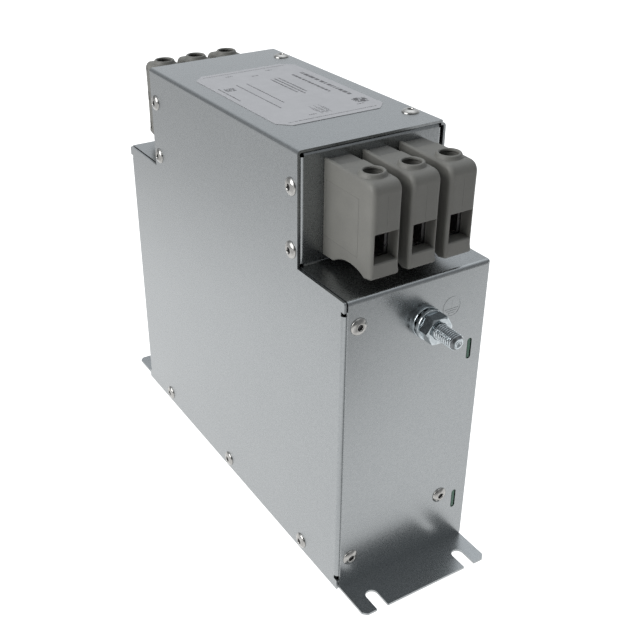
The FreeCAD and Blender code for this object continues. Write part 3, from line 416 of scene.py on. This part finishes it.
def join_rings(shape, low, high, material=0):
    """Faces between two rings of vertices, either of which may be a single point."""
    count = max(len(low), len(high))
    for k in range(count):
        after = (k + 1) % count
        if len(low) == 1:
            corners = (low[0], high[after], high[k])
        elif len(high) == 1:
            corners = (low[k], low[after], high[0])
        else:
            corners = (low[k], low[after], high[after], high[k])
        shape.faces.new(corners).material_index = material


def lathe(shape, profile, place, steps=48, material=0):
    """Turns a closed or axis-to-axis profile of (radius, height) in mm about local Z."""
    rings = []
    for radius, height in profile:
        count = steps if radius > 0 else 1
        rings.append(ring(shape, place, [radius] * count, [height] * count))
    for low, high in zip(rings, rings[1:]):
        join_rings(shape, low, high, material)
    return rings


def facing(normal):
    """Rotation that turns local Z to the given direction."""
    return Vector((0, 0, 1)).rotation_difference(Vector(normal)).to_matrix().to_4x4()


def seats(node):
    """Middles of the separate small solids of a node."""
    groups = []
    for vertex in NODES[node].data.vertices:
        for group in groups:
            if (group[0] - vertex.co).length < RIVET_SPAN * MM:
                group.append(vertex.co)
                break
        else:
            groups.append([vertex.co])
    middles = []
    for group in groups:
        low = Vector(min(spot[i] for spot in group) for i in range(3))
        high = Vector(max(spot[i] for spot in group) for i in range(3))
        middles.append((low + high) / 2)
    return middles


def make_rivets(node, normal):
    """Domed blind rivet heads with the broken mandrel down the bore, on their seats."""
    made, shape = piece(f"{node}_heads", "rivet_steel")
    made.data.materials.append(MANDREL)
    for middle in seats(node):
        foot = middle - Vector(normal) * RIVET_SINK * MM
        place = Matrix.Translation(foot) @ facing(normal)
        lathe(shape, RIVET_PROFILE, place)
        lathe(shape, MANDREL_PROFILE, place, material=1)
    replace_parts(finish(made, shape), node)


def on_wall(node, hand):
    """Frame of a piece of the earth stud's set: local Z points out of the case, from the
    inner face of the node, on the common axis."""
    low, high = node_box(node)
    middle = (low + high) / 2
    inner = low.y if hand > 0 else high.y
    spot = Vector((middle.x, inner, middle.z - STUD_DROP * MM))
    return Matrix.Translation(spot) @ facing((0, hand, 0))


def outward(distance):
    """A step of some mm along local Z."""
    return Matrix.Translation((0, 0, distance * MM))


def depth(node):
    """Depth of a node from its inner to its outer face."""
    low, high = node_box(node)
    return (high.y - low.y) / MM


def stud_radius(angle, height, length):
    """Radius of the thread's surface: flattened crests, rounded roots, and the chamfer
    towards the tip."""
    phase = (height / THREAD_PITCH - angle / (2 * math.pi)) % 1.0
    rise = abs(2 * phase - 1)
    level = min(max((rise - THREAD_FLAT) / (1 - 2 * THREAD_FLAT), 0.0), 1.0)
    thread = STUD_MAJOR - THREAD_DEPTH * (1.0 - level)
    return min(thread, TIP_RADIUS + (length - height) * TIP_SLOPE)


def make_stud(end, hand):
    """Earth stud with a rolled thread, a chamfered tip, a small centre dimple and painted shade in
    the grooves.
    """
    node = f"{end}_earth_stud"
    made, shape = piece(f"{node}_threaded", "zinc_plate")
    made.data.materials.append(THREAD_ROOT_SHADE)
    place = on_wall(node, hand)
    length = depth(node) - STUD_SHORTER
    head, seat, shank = STUD_HEAD_RADIUS, STUD_HEAD_THICK, STUD_SHANK_RADIUS
    inner_end = [(0.0, 0.0), (head, 0.0), (head, seat), (shank, seat)]
    inner_end += [(shank, THREAD_START), (shank + 0.22, THREAD_START)]
    lathe(shape, inner_end, place, STUD_STEPS)
    rows = int((length - THREAD_START) * ROWS_PER_MM)
    rings = []
    for row in range(rows + 1):
        height = THREAD_START + (length - THREAD_START) * row / rows
        radii = [stud_radius(angle, height, length) for angle in around(STUD_STEPS)]
        rings.append(ring(shape, place, radii, [height] * STUD_STEPS))
    for first, second in zip(rings, rings[1:]):
        join_rings(shape, first, second)
    base = place.to_translation()
    # Painted shade: faces deep in the thread's grooves take the darker steel.
    for face in shape.faces:
        away = face.calc_center_median() - base
        groove = math.hypot(away.x, away.z) < (STUD_MAJOR - ROOT_DEPTH) * MM
        face.material_index = int(groove and abs(away.y) > THREAD_START * MM)
    dimple = [(1.5, length), (1.2, length - 0.3), (0.0, length - 0.6)]
    tip = lathe(shape, dimple, place, STUD_STEPS)
    join_rings(shape, rings[-1], tip[0])
    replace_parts(finish(made, shape, 50.0), node)


def make_nut(end, hand):
    """Hexagon nut with chamfered corners and a countersunk, threaded hole."""
    node = f"{end}_earth_nut"
    made, shape = piece(f"{node}_chamfered", "zinc_plate")
    place = on_wall(node, hand) @ Matrix.Rotation(math.radians(30.0), 4, "Z")
    height = depth(node) + NUT_TALLER
    steps = 72
    seat = NUT_HALF_FLATS * 0.96
    slope = math.tan(math.radians(NUT_CHAMFER_DEG))
    sixth = math.pi / 3
    hexagon = [
        NUT_HALF_FLATS / math.cos((angle + sixth / 2) % sixth - sixth / 2)
        for angle in around(steps)
    ]
    chamfer = [(radius - seat) * slope for radius in hexagon]

    def circle(radius, level):
        return ring(shape, place, [radius] * steps, [level] * steps)

    hole, mouth = STUD_MAJOR - 0.3, STUD_MAJOR + 0.3
    rings = [
        circle(hole, 0.45),
        circle(mouth, 0.0),
        circle(seat, 0.0),
        ring(shape, place, hexagon, chamfer),
        ring(shape, place, hexagon, [height - drop for drop in chamfer]),
        circle(seat, height),
        circle(mouth, height),
        circle(hole, height - 0.6),
    ]
    for first, second in zip(rings, rings[1:] + rings[:1]):
        join_rings(shape, first, second)
    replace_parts(finish(made, shape, 22.0), node)


def make_flat_washers(end, hand):
    """The two stamped flat washers, one edge rolled over and the other sharp."""
    node = f"{end}_flat_washers"
    made, shape = piece(f"{node}_rolled", "zinc_plate")
    hole, rim, thick = WASHER_HOLE, WASHER_RADIUS, WASHER_THICK
    profile = [(hole, 0.12), (hole + 0.1, 0.0), (rim - 0.1, 0.0), (rim, 0.1)]
    profile += [(rim, thick - 0.4), (rim - 0.12, thick - 0.14), (rim - 0.4, thick)]
    profile += [(hole + 0.2, thick), (hole, thick - 0.2), (hole, 0.12)]
    for out in (0.0, WASHER_THICK + LOCK_SPACE):
        lathe(shape, profile, on_wall(node, hand) @ outward(out), 64)
    merge(shape)
    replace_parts(finish(made, shape, 30.0), node)


def make_lock_washer(end, hand):
    """Toothed lock washer: a flat ring whose outer teeth are twisted."""
    node = f"{end}_lock_washer"
    made, shape = piece(f"{node}_twisted", "zinc_plate")
    place = on_wall(node, hand) @ outward(depth(node) / 2)
    hole, rim, half = WASHER_HOLE, LOCK_RING_RADIUS, LOCK_HALF_THICK
    lathe(shape, [(hole, -half), (rim, -half), (rim, half), (hole, half), (hole, -half)], place, 72)
    for about in around(LOCK_TEETH):
        sections = []
        for reach, width, twist in LOCK_TOOTH:
            tilt = math.radians(twist)
            section = []
            for side, rise in ((-1, -1), (1, -1), (1, 1), (-1, 1)):
                across = side * width * math.cos(tilt) - rise * half * math.sin(tilt)
                up = side * width * math.sin(tilt) + rise * half * math.cos(tilt)
                spot = Vector((reach, across, up))
                spot.rotate(Euler((0, 0, about)))
                section.append(shape.verts.new(place @ (spot * MM)))
            sections.append(section)
        for inner, outer in zip(sections, sections[1:]):
            join_rings(shape, inner, outer)
        shape.faces.new(sections[-1])
        shape.faces.new(sections[0])
    merge(shape)
    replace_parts(finish(made, shape, 30.0), node)


def arc(u, v, radius, start_deg, stop_deg, steps):
    """Points in mm along an arc, both ends included."""
    spots = []
    for k in range(steps + 1):
        angle = math.radians(start_deg + (stop_deg - start_deg) * k / steps)
        spots.append((u + radius * math.cos(angle), v + radius * math.sin(angle)))
    return spots


def block_outline():
    """Side view of a terminal block as (y, z, radius of the long edge there), from the wall
    along the top, down the front and back along the arched underside."""
    front, top, foot = -BLOCK_REACH, BLOCK_TOP, BLOCK_FOOT
    crown, toe = 5.0, 1.6
    spots = [(0.0, top, 0.4), (-4.0, top, 0.7), (-14.0, top, 1.0), (-25.0, top, 1.4)]
    spots += [(y, z, 2.2) for y, z in arc(front + crown, top - crown, crown, 90, 180, 8)]
    spots += [(front, 200.0, 2.4), (front, 180.0, 2.4), (front, 175.0, 2.2)]
    spots += [(y, z, 1.3) for y, z in arc(front + toe, 172.6, toe, 180, 265, 4)]
    spots += [(y, z, 0.7) for y, z in arc(-22.5, 149.4, 23.6, 116.5, 55.5, 12)]
    spots += [(-8.0, foot, 0.6), (-4.0, foot, 0.5), (0.0, foot, 0.3)]
    return spots


def half_width(y):
    """Half the width of a terminal block, which tapers a little towards the wall."""
    share = (y + BLOCK_REACH) / BLOCK_REACH
    return FRONT_HALF_WIDTH + (WALL_HALF_WIDTH - FRONT_HALF_WIDTH) * share


def block_body(shape):
    """The moulding without its hollows, its long edges rounded by the outline's radii."""
    outline = block_outline()
    quarter = range(0, 91, 15)
    turns = [(-1, angle) for angle in reversed(quarter)] + [(1, angle) for angle in quarter]
    rings = []
    for sign, turn in turns:
        out, across = math.cos(math.radians(turn)), math.sin(math.radians(turn))
        section = []
        for i, (y, z, radius) in enumerate(outline):
            before, after = outline[i - 1], outline[(i + 1) % len(outline)]
            normal = Vector((after[1] - before[1], before[0] - after[0])).normalized()
            y -= normal.x * radius * (1 - out)
            z -= normal.y * radius * (1 - out)
            x = sign * (half_width(y) - radius * (1 - across))
            section.append(shape.verts.new(Vector((x, y, z)) * MM))
        rings.append(section)
    for first, second in zip(rings, rings[1:]):
        join_rings(shape, first, second)
    shape.faces.new(rings[0])
    shape.faces.new(rings[-1])


def prism(shape, corners, along, start, stop, flare=1.0):
    """A prism on a closed outline in mm across one axis, its far outline scaled by flare."""
    middle = [sum(corner[i] for corner in corners) / len(corners) for i in (0, 1)]
    ends = []
    for place, scale in ((start, 1.0), (stop, flare)):
        outline = []
        for corner in corners:
            u, v = (m + (c - m) * scale for m, c in zip(middle, corner))
            spot = {"x": (place, u, v), "y": (u, place, v), "z": (u, v, place)}[along]
            outline.append(shape.verts.new(Vector(spot) * MM))
        ends.append(outline)
    join_rings(shape, ends[0], ends[1])
    shape.faces.new(ends[0])
    shape.faces.new(list(reversed(ends[1])))
    bmesh.ops.recalc_face_normals(shape, faces=shape.faces)


def oblong(u0, v0, u1, v1):
    """Corners of a rectangle."""
    return [(u0, v0), (u1, v0), (u1, v1), (u0, v1)]


def block_tools():
    """What is joined to the moulding and cut from it, as (operation, filled bmesh)."""
    tools = []

    def tool(operation):
        tools.append((operation, bmesh.new()))
        return tools[-1][1]

    behind, low, high = 1.4, 170.3, 200.3
    spigot = [(-1, low), (behind, low), (behind, low - 1), (8, low + 1)]
    spigot += [(8, high - 1), (behind, high + 1), (behind, high), (-1, high)]
    prism(tool("UNION"), spigot, "x", -5.3, 5.3)

    on_boss = Matrix.Translation((0, BOSS_PLACE * MM, 0))
    boss = [(0.0, 212.0), (6.5, 212.0), (6.5, BLOCK_TOP), (6.2, 214.45), (5.85, 215.2)]
    boss += [(5.65, 215.7), (5.35, 216.0), (5.0, BOSS_TOP), (4.7, 216.0), (4.5, 215.8)]
    lathe(tool("UNION"), boss + [(0.0, 215.8)], on_boss)
    bore = [(0.0, 203.0), (5.2, 203.0), (5.2, 214.4), (4.3, 215.0), (4.45, 217.0), (0.0, 217.0)]
    lathe(tool("DIFFERENCE"), bore, on_boss)

    entry = oblong(-ENTRY_HALF_WIDTH, ENTRY_LOW, ENTRY_HALF_WIDTH, ENTRY_HIGH)
    prism(tool("DIFFERENCE"), entry, "y", CHAMBER_FRONT + 0.1, -40.0)
    prism(tool("DIFFERENCE"), entry, "y", -37.35, -38.3, ENTRY_FLARE)
    chamber = oblong(-CHAMBER_HALF_WIDTH, CHAMBER_LOW, CHAMBER_HALF_WIDTH, CHAMBER_HIGH)
    prism(tool("DIFFERENCE"), chamber, "y", CHAMBER_FRONT, CHAMBER_BACK)
    current_bar_slot = oblong(-4.15, 188.3, 4.15, 191.6)
    prism(tool("DIFFERENCE"), current_bar_slot, "y", -18.5, 9.0)

    marker_recess = oblong(-5.4, -10.5, 8.0, 1.0)
    prism(tool("DIFFERENCE"), marker_recess, "z", MARKER_FLOOR, 216.0)
    for k in (-1, 0, 1):
        level = 191.4 + LATCH_PITCH * k
        prism(tool("DIFFERENCE"), oblong(-36.1, level, -33.7, level + 5), "x", 7.05, 8.5)
    return tools


def add_parting_line(shape):
    """The raised line of the mould's halves down the upper front."""
    front = -BLOCK_REACH
    prism(shape, oblong(-0.12, 193.0, 0.12, 208.6), "y", front - 0.05, front + 0.1)


def add_flank_frame(shape):
    """A faint raised outline on the left flank."""
    y0, z0, y1, z1 = FLANK_FRAME
    for line in (
        (y0, z0, y0 + FLANK_LINE, z1),
        (y1 - FLANK_LINE, z0, y1, z1),
        (y0, z0, y1, z0 + FLANK_LINE),
        (y0, z1 - FLANK_LINE, y1, z1),
    ):
        foot, face = [], []
        for y, z in oblong(*line):
            foot.append(shape.verts.new(Vector((-half_width(y) + 0.05, y, z)) * MM))
            face.append(shape.verts.new(Vector((-half_width(y) - 0.06, y, z)) * MM))
        join_rings(shape, foot, face)
        shape.faces.new(face)


def helper_object(name, shape):
    """An object that is only there while the terminal block is made."""
    made = bpy.data.objects.new(name, bpy.data.meshes.new(name))
    bpy.context.collection.objects.link(made)
    return finish(made, shape)


def applied(body):
    """A new mesh: that of an object with its modifiers applied."""
    seen = body.evaluated_get(bpy.context.evaluated_depsgraph_get())
    return bpy.data.meshes.new_from_object(seen)


def carve(body):
    """The body's mesh with all tools applied, as a bmesh."""
    helpers = []
    for operation, tool in block_tools():
        helpers.append(helper_object("tool", tool))
        boolean = body.modifiers.new(operation, "BOOLEAN")
        boolean.operation = operation
        boolean.solver = "EXACT"
        boolean.object = helpers[-1]
    shape = bmesh.new()
    shape.from_mesh(applied(body))
    merge(shape)
    body.modifiers.clear()
    for helper in helpers:
        bpy.data.objects.remove(helper)
    return shape


def shade_block(mesh):
    """Moulding all over, with painted shade as darker tones on the marker recess floor and inside
    the chamber.
    """
    mesh.materials.clear()
    for material in (MATERIALS["terminal_moulding"], MARKER_FIELD_SHADE, CHAMBER_SHADE):
        mesh.materials.append(material)
    near = 0.02
    for face in mesh.polygons:
        x, y, z = (value / MM for value in face.center)
        inside = abs(x) < CHAMBER_HALF_WIDTH + near
        inside = inside and CHAMBER_FRONT - near < y < CHAMBER_BACK + near
        inside = inside and CHAMBER_LOW - near < z < CHAMBER_HIGH + near
        # Painted shade: the marker recess floor takes the darker moulding.
        if abs(z - MARKER_FLOOR) < near:
            face.material_index = 1
        # Painted shade: the chamber's inner faces take the near-black moulding.
        elif inside:
            face.material_index = 2


def make_block_mesh():
    """Mesh of one terminal block in its own frame."""
    shape = bmesh.new()
    block_body(shape)
    body = helper_object("block", shape)
    shape = carve(body)
    add_parting_line(shape)
    add_flank_frame(shape)
    finish(body, shape, 35.0)
    weighted = body.modifiers.new("weighted", "WEIGHTED_NORMAL")
    weighted.keep_sharp = True
    mesh = applied(body)
    mesh.name = "terminal_block"
    bpy.data.objects.remove(body)
    shade_block(mesh)
    return mesh


def make_terminals():
    """The six like terminal blocks, in place of the plainer ones."""
    mesh = make_block_mesh()
    for end, hand in ENDS:
        for side in SIDES:
            node = f"{end}_terminal_{side}"
            low, high = node_box(node)
            wall = low.y + BLOCK_REACH * MM if hand < 0 else high.y - BLOCK_REACH * MM
            spot = ((low.x + high.x) / 2, wall, high.z - BOSS_TOP * MM)
            made = bpy.data.objects.new(f"{node}_moulded", mesh)
            bpy.context.collection.objects.link(made)
            made.matrix_world = Matrix.Translation(spot) @ half_turn(hand)
            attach(made, "root")
            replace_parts(made, node)


def half_turn(hand):
    """Half a turn about Z for what is at the rear end, none at the front."""
    return Matrix.Rotation(math.pi if hand > 0 else 0.0, 4, "Z")


def bar(shape, u0, v0, u1, v1, place, thick_mm):
    """A thin rectangular plate between two corners in mm, its foot on the local XY plane."""
    corners = oblong(u0, v0, u1, v1)
    foot = [shape.verts.new(place @ (Vector((u, v, 0)) * MM)) for u, v in corners]
    face = [shape.verts.new(place @ (Vector((u, v, thick_mm)) * MM)) for u, v in corners]
    shape.faces.new(face)
    shape.faces.new(list(reversed(foot)))
    join_rings(shape, foot, face)


def loop(shape, u, v, radius, width, place, thick_mm, steps):
    """A thin ring plate."""
    inner, outer = radius - width / 2, radius + width / 2
    profile = [(inner, 0), (outer, 0), (outer, thick_mm), (inner, thick_mm), (inner, 0)]
    lathe(shape, profile, place @ Matrix.Translation((u * MM, v * MM, 0)), steps)


def words(shape, chance, u, v, run, height, place, along_u=True):
    """A row of short marks of uneven length, as small print looks from a step away."""
    spent = 0.0
    while spent < run:
        mark = min(chance.uniform(0.5, 2.2) * height, run - spent)
        start, stop = spent, spent + mark
        if along_u:
            bar(shape, u + start, v, u + stop, v + height, place, INK)
        else:
            bar(shape, u, v + start, u + height, v + stop, place, INK)
        spent = stop + chance.uniform(0.3, 0.8) * height


def make_label_print():
    """Generic print: rows of marks along the label, a few single notes, fine rows at both
    ends, four short rows, a small circuit and a dotted block."""
    low, high = node_box("label")
    made, shape = piece("label_print", "label_film", PRINT)
    place = Matrix.Translation((low.x, low.y, high.z))
    wide, long = (high.x - low.x) / MM, (high.y - low.y) / MM
    chance = random.Random(7)
    for across, start, run, height in LABEL_ROWS:
        u, v = wide * across - height / 2, long * (1 - start - run)
        words(shape, chance, u, v, long * run, height, place, along_u=False)
    for across, start in LABEL_NOTES:
        words(shape, chance, wide * across, long * (1 - start), 4.0, 0.8, place)
    for v in (END_ROW_INSET, long - END_ROW_INSET):
        words(shape, chance, END_ROW_MARGIN, v, wide - 2 * END_ROW_MARGIN, 0.55, place)
    for line in range(4):
        words(shape, chance, wide * 0.08, long * 0.70 - 1.3 * line, 5.5, 0.9, place)
    make_circuit(shape, place, wide * 0.44, long * 0.08)
    for i in range(DOTS):
        for j in range(DOTS):
            if chance.random() < DOT_SHARE:
                u, v = wide * 0.83 + DOT_PITCH * i, long * 0.13 + DOT_PITCH * j
                bar(shape, u, v, u + DOT_WIDTH, v + DOT_WIDTH, place, INK)
    finish(made, shape)


def make_circuit(shape, place, u, v):
    """Three lines through three coils, with a capacitor between neighbours."""
    for k in range(3):
        x = u + COIL_PITCH * k
        for start in (v, v + 9.0):
            bar(shape, x, start, x + COIL_LINE, start + COIL_LEAD, place, INK)
        for turn in range(4):
            middle = v + 4.2 + 1.4 * turn
            loop(shape, x + COIL_LINE / 2, middle, 0.7, 0.2, place, INK, 16)
    for k in range(2):
        x = u + COIL_PITCH * k
        bar(shape, x, v + 2.0, x + 1.1, v + 2.2, place, INK)
        bar(shape, x + 1.5, v + 2.0, x + COIL_PITCH, v + 2.2, place, INK)
        bar(shape, x + 1.0, v + 1.3, x + 1.2, v + 2.9, place, INK)
        bar(shape, x + 1.4, v + 1.3, x + 1.6, v + 2.9, place, INK)


def make_earth_sign(end, hand):
    """Faint raised earth sign beside the stud: a ring, a stem and three bars."""
    low, high = node_box(f"{end}_earth_stud")
    stud = (low + high) / 2
    wall_low, wall_high = node_box(f"{end}_end_wall")
    face = wall_low.y if hand < 0 else wall_high.y
    made, shape = piece(f"{end}_earth_sign", "galvanised_case")
    upright = Matrix.Rotation(math.radians(90.0), 4, "X")
    spot = (stud.x - hand * SIGN_BESIDE * MM, face, stud.z + SIGN_ABOVE * MM)
    place = Matrix.Translation(spot) @ half_turn(hand) @ upright
    loop(shape, 0, 0, 4.95, 0.5, place, 0.1, 48)
    bar(shape, -0.1, -1.0, 0.1, 3.4, place, 0.04)
    for width, level in SIGN_BARS:
        bar(shape, -width, level, width, level + 0.5, place, 0.12)
    finish(made, shape)


def ramp(tree, place, along, start, stop, near, far):
    """A value that goes smoothly from near to far, between two distances in a direction."""
    distance = tree.nodes.new("ShaderNodeVectorMath")
    distance.operation = "DOT_PRODUCT"
    distance.inputs[1].default_value = along
    tree.links.new(place, distance.inputs[0])
    fade = tree.nodes.new("ShaderNodeMapRange")
    fade.interpolation_type = "SMOOTHSTEP"
    fade.inputs["From Min"].default_value = start
    fade.inputs["From Max"].default_value = stop
    fade.inputs["To Min"].default_value = near
    fade.inputs["To Max"].default_value = far
    tree.links.new(distance.outputs["Value"], fade.inputs["Value"])
    return fade.outputs["Result"]


def joined(tree, first, second, operation="MULTIPLY"):
    """One value made of two, their product unless another operation is asked for."""
    both = tree.nodes.new("ShaderNodeMath")
    both.operation = operation
    tree.links.new(first, both.inputs[0])
    tree.links.new(second, both.inputs[1])
    return both.outputs["Value"]


def make_floor():
    """Pale light table. Its glow fades to the left and towards the front, but not towards
    the front on the part's left side."""
    bpy.ops.mesh.primitive_plane_add(size=FLOOR_SIZE, location=(0, 0, -FLOOR_GAP))
    floor = bpy.context.object
    floor.name = "floor"
    paint = Shader("floor_white")
    paint.set(base_color=(0.12, 0.12, 0.12), roughness=0.9, emission_color=(1.0, 1.0, 1.0))
    to_left = ramp(paint.tree, paint.place, **FLOOR_LEFT)
    to_front = ramp(paint.tree, paint.place, **FLOOR_FRONT)
    beside = ramp(paint.tree, paint.place, **FLOOR_BESIDE)
    glow = joined(paint.tree, to_left, joined(paint.tree, to_front, beside, "MAXIMUM"))
    paint.link(glow, paint.surface.inputs["Emission Strength"])
    floor.data.materials.append(paint.material)


def make_studio():
    """A soft sky, bright behind, above and to the right of the part and dim in front of it."""
    world = bpy.data.worlds.new("studio")
    world.use_nodes = True
    tree = world.node_tree
    backdrop = tree.nodes["Background"]
    backdrop.inputs["Color"].default_value = (0.94, 0.97, 1.0, 1.0)
    place = tree.nodes.new("ShaderNodeTexCoord").outputs["Generated"]
    to_rear, to_zenith, to_right = (
        ramp(tree, place, **sky) for sky in (SKY_REAR, SKY_ZENITH, SKY_RIGHT)
    )
    glow = joined(tree, joined(tree, to_rear, to_zenith), to_right)
    tree.links.new(glow, backdrop.inputs["Strength"])
    bpy.context.scene.world = world


def make_key_light():
    """A square soft light to the left, aimed at the middle of the part."""
    lamp = bpy.data.lights.new("key", "AREA")
    lamp.size = KEY_SIZE
    lamp.energy = KEY_POWER
    holder = bpy.data.objects.new("key", lamp)
    bpy.context.collection.objects.link(holder)
    holder.location = KEY_PLACE
    aim = Vector(KEY_AIM) - Vector(KEY_PLACE)
    holder.rotation_euler = aim.to_track_quat("-Z", "Y").to_euler()


def make_camera():
    """The camera of the photograph: a longish lens, slightly above and to the left."""
    lens = bpy.data.cameras.new("camera")
    lens.lens = CAMERA_LENS
    lens.sensor_width = 36.0
    lens.shift_x, lens.shift_y = CAMERA_SHIFT
    lens.clip_start = 0.01
    camera = bpy.data.objects.new("camera", lens)
    bpy.context.collection.objects.link(camera)
    azimuth, elevation, roll = (math.radians(angle) for angle in CAMERA_TURN_DEG)
    turn = Euler((math.pi / 2 - elevation, 0, azimuth)).to_matrix()
    turn = turn @ Matrix.Rotation(roll, 3, "Z")
    camera.matrix_world = Matrix.Translation(CAMERA_PLACE) @ turn.to_4x4()
    bpy.context.scene.camera = camera


bpy.context.scene.view_settings.view_transform = "Standard"
make_camera()
make_floor()
make_studio()
make_key_light()
dress_nodes()
make_rivets("left_side_rivets", (-1, 0, 0))
make_rivets("right_side_rivets", (1, 0, 0))
make_rivets("top_rivets", (0, 0, 1))
for end, hand in ENDS:
    make_rivets(f"{end}_wall_rivets", (0, hand, 0))
    make_stud(end, hand)
    make_nut(end, hand)
    make_flat_washers(end, hand)
    make_lock_washer(end, hand)
    make_earth_sign(end, hand)
make_terminals()
make_label_print()
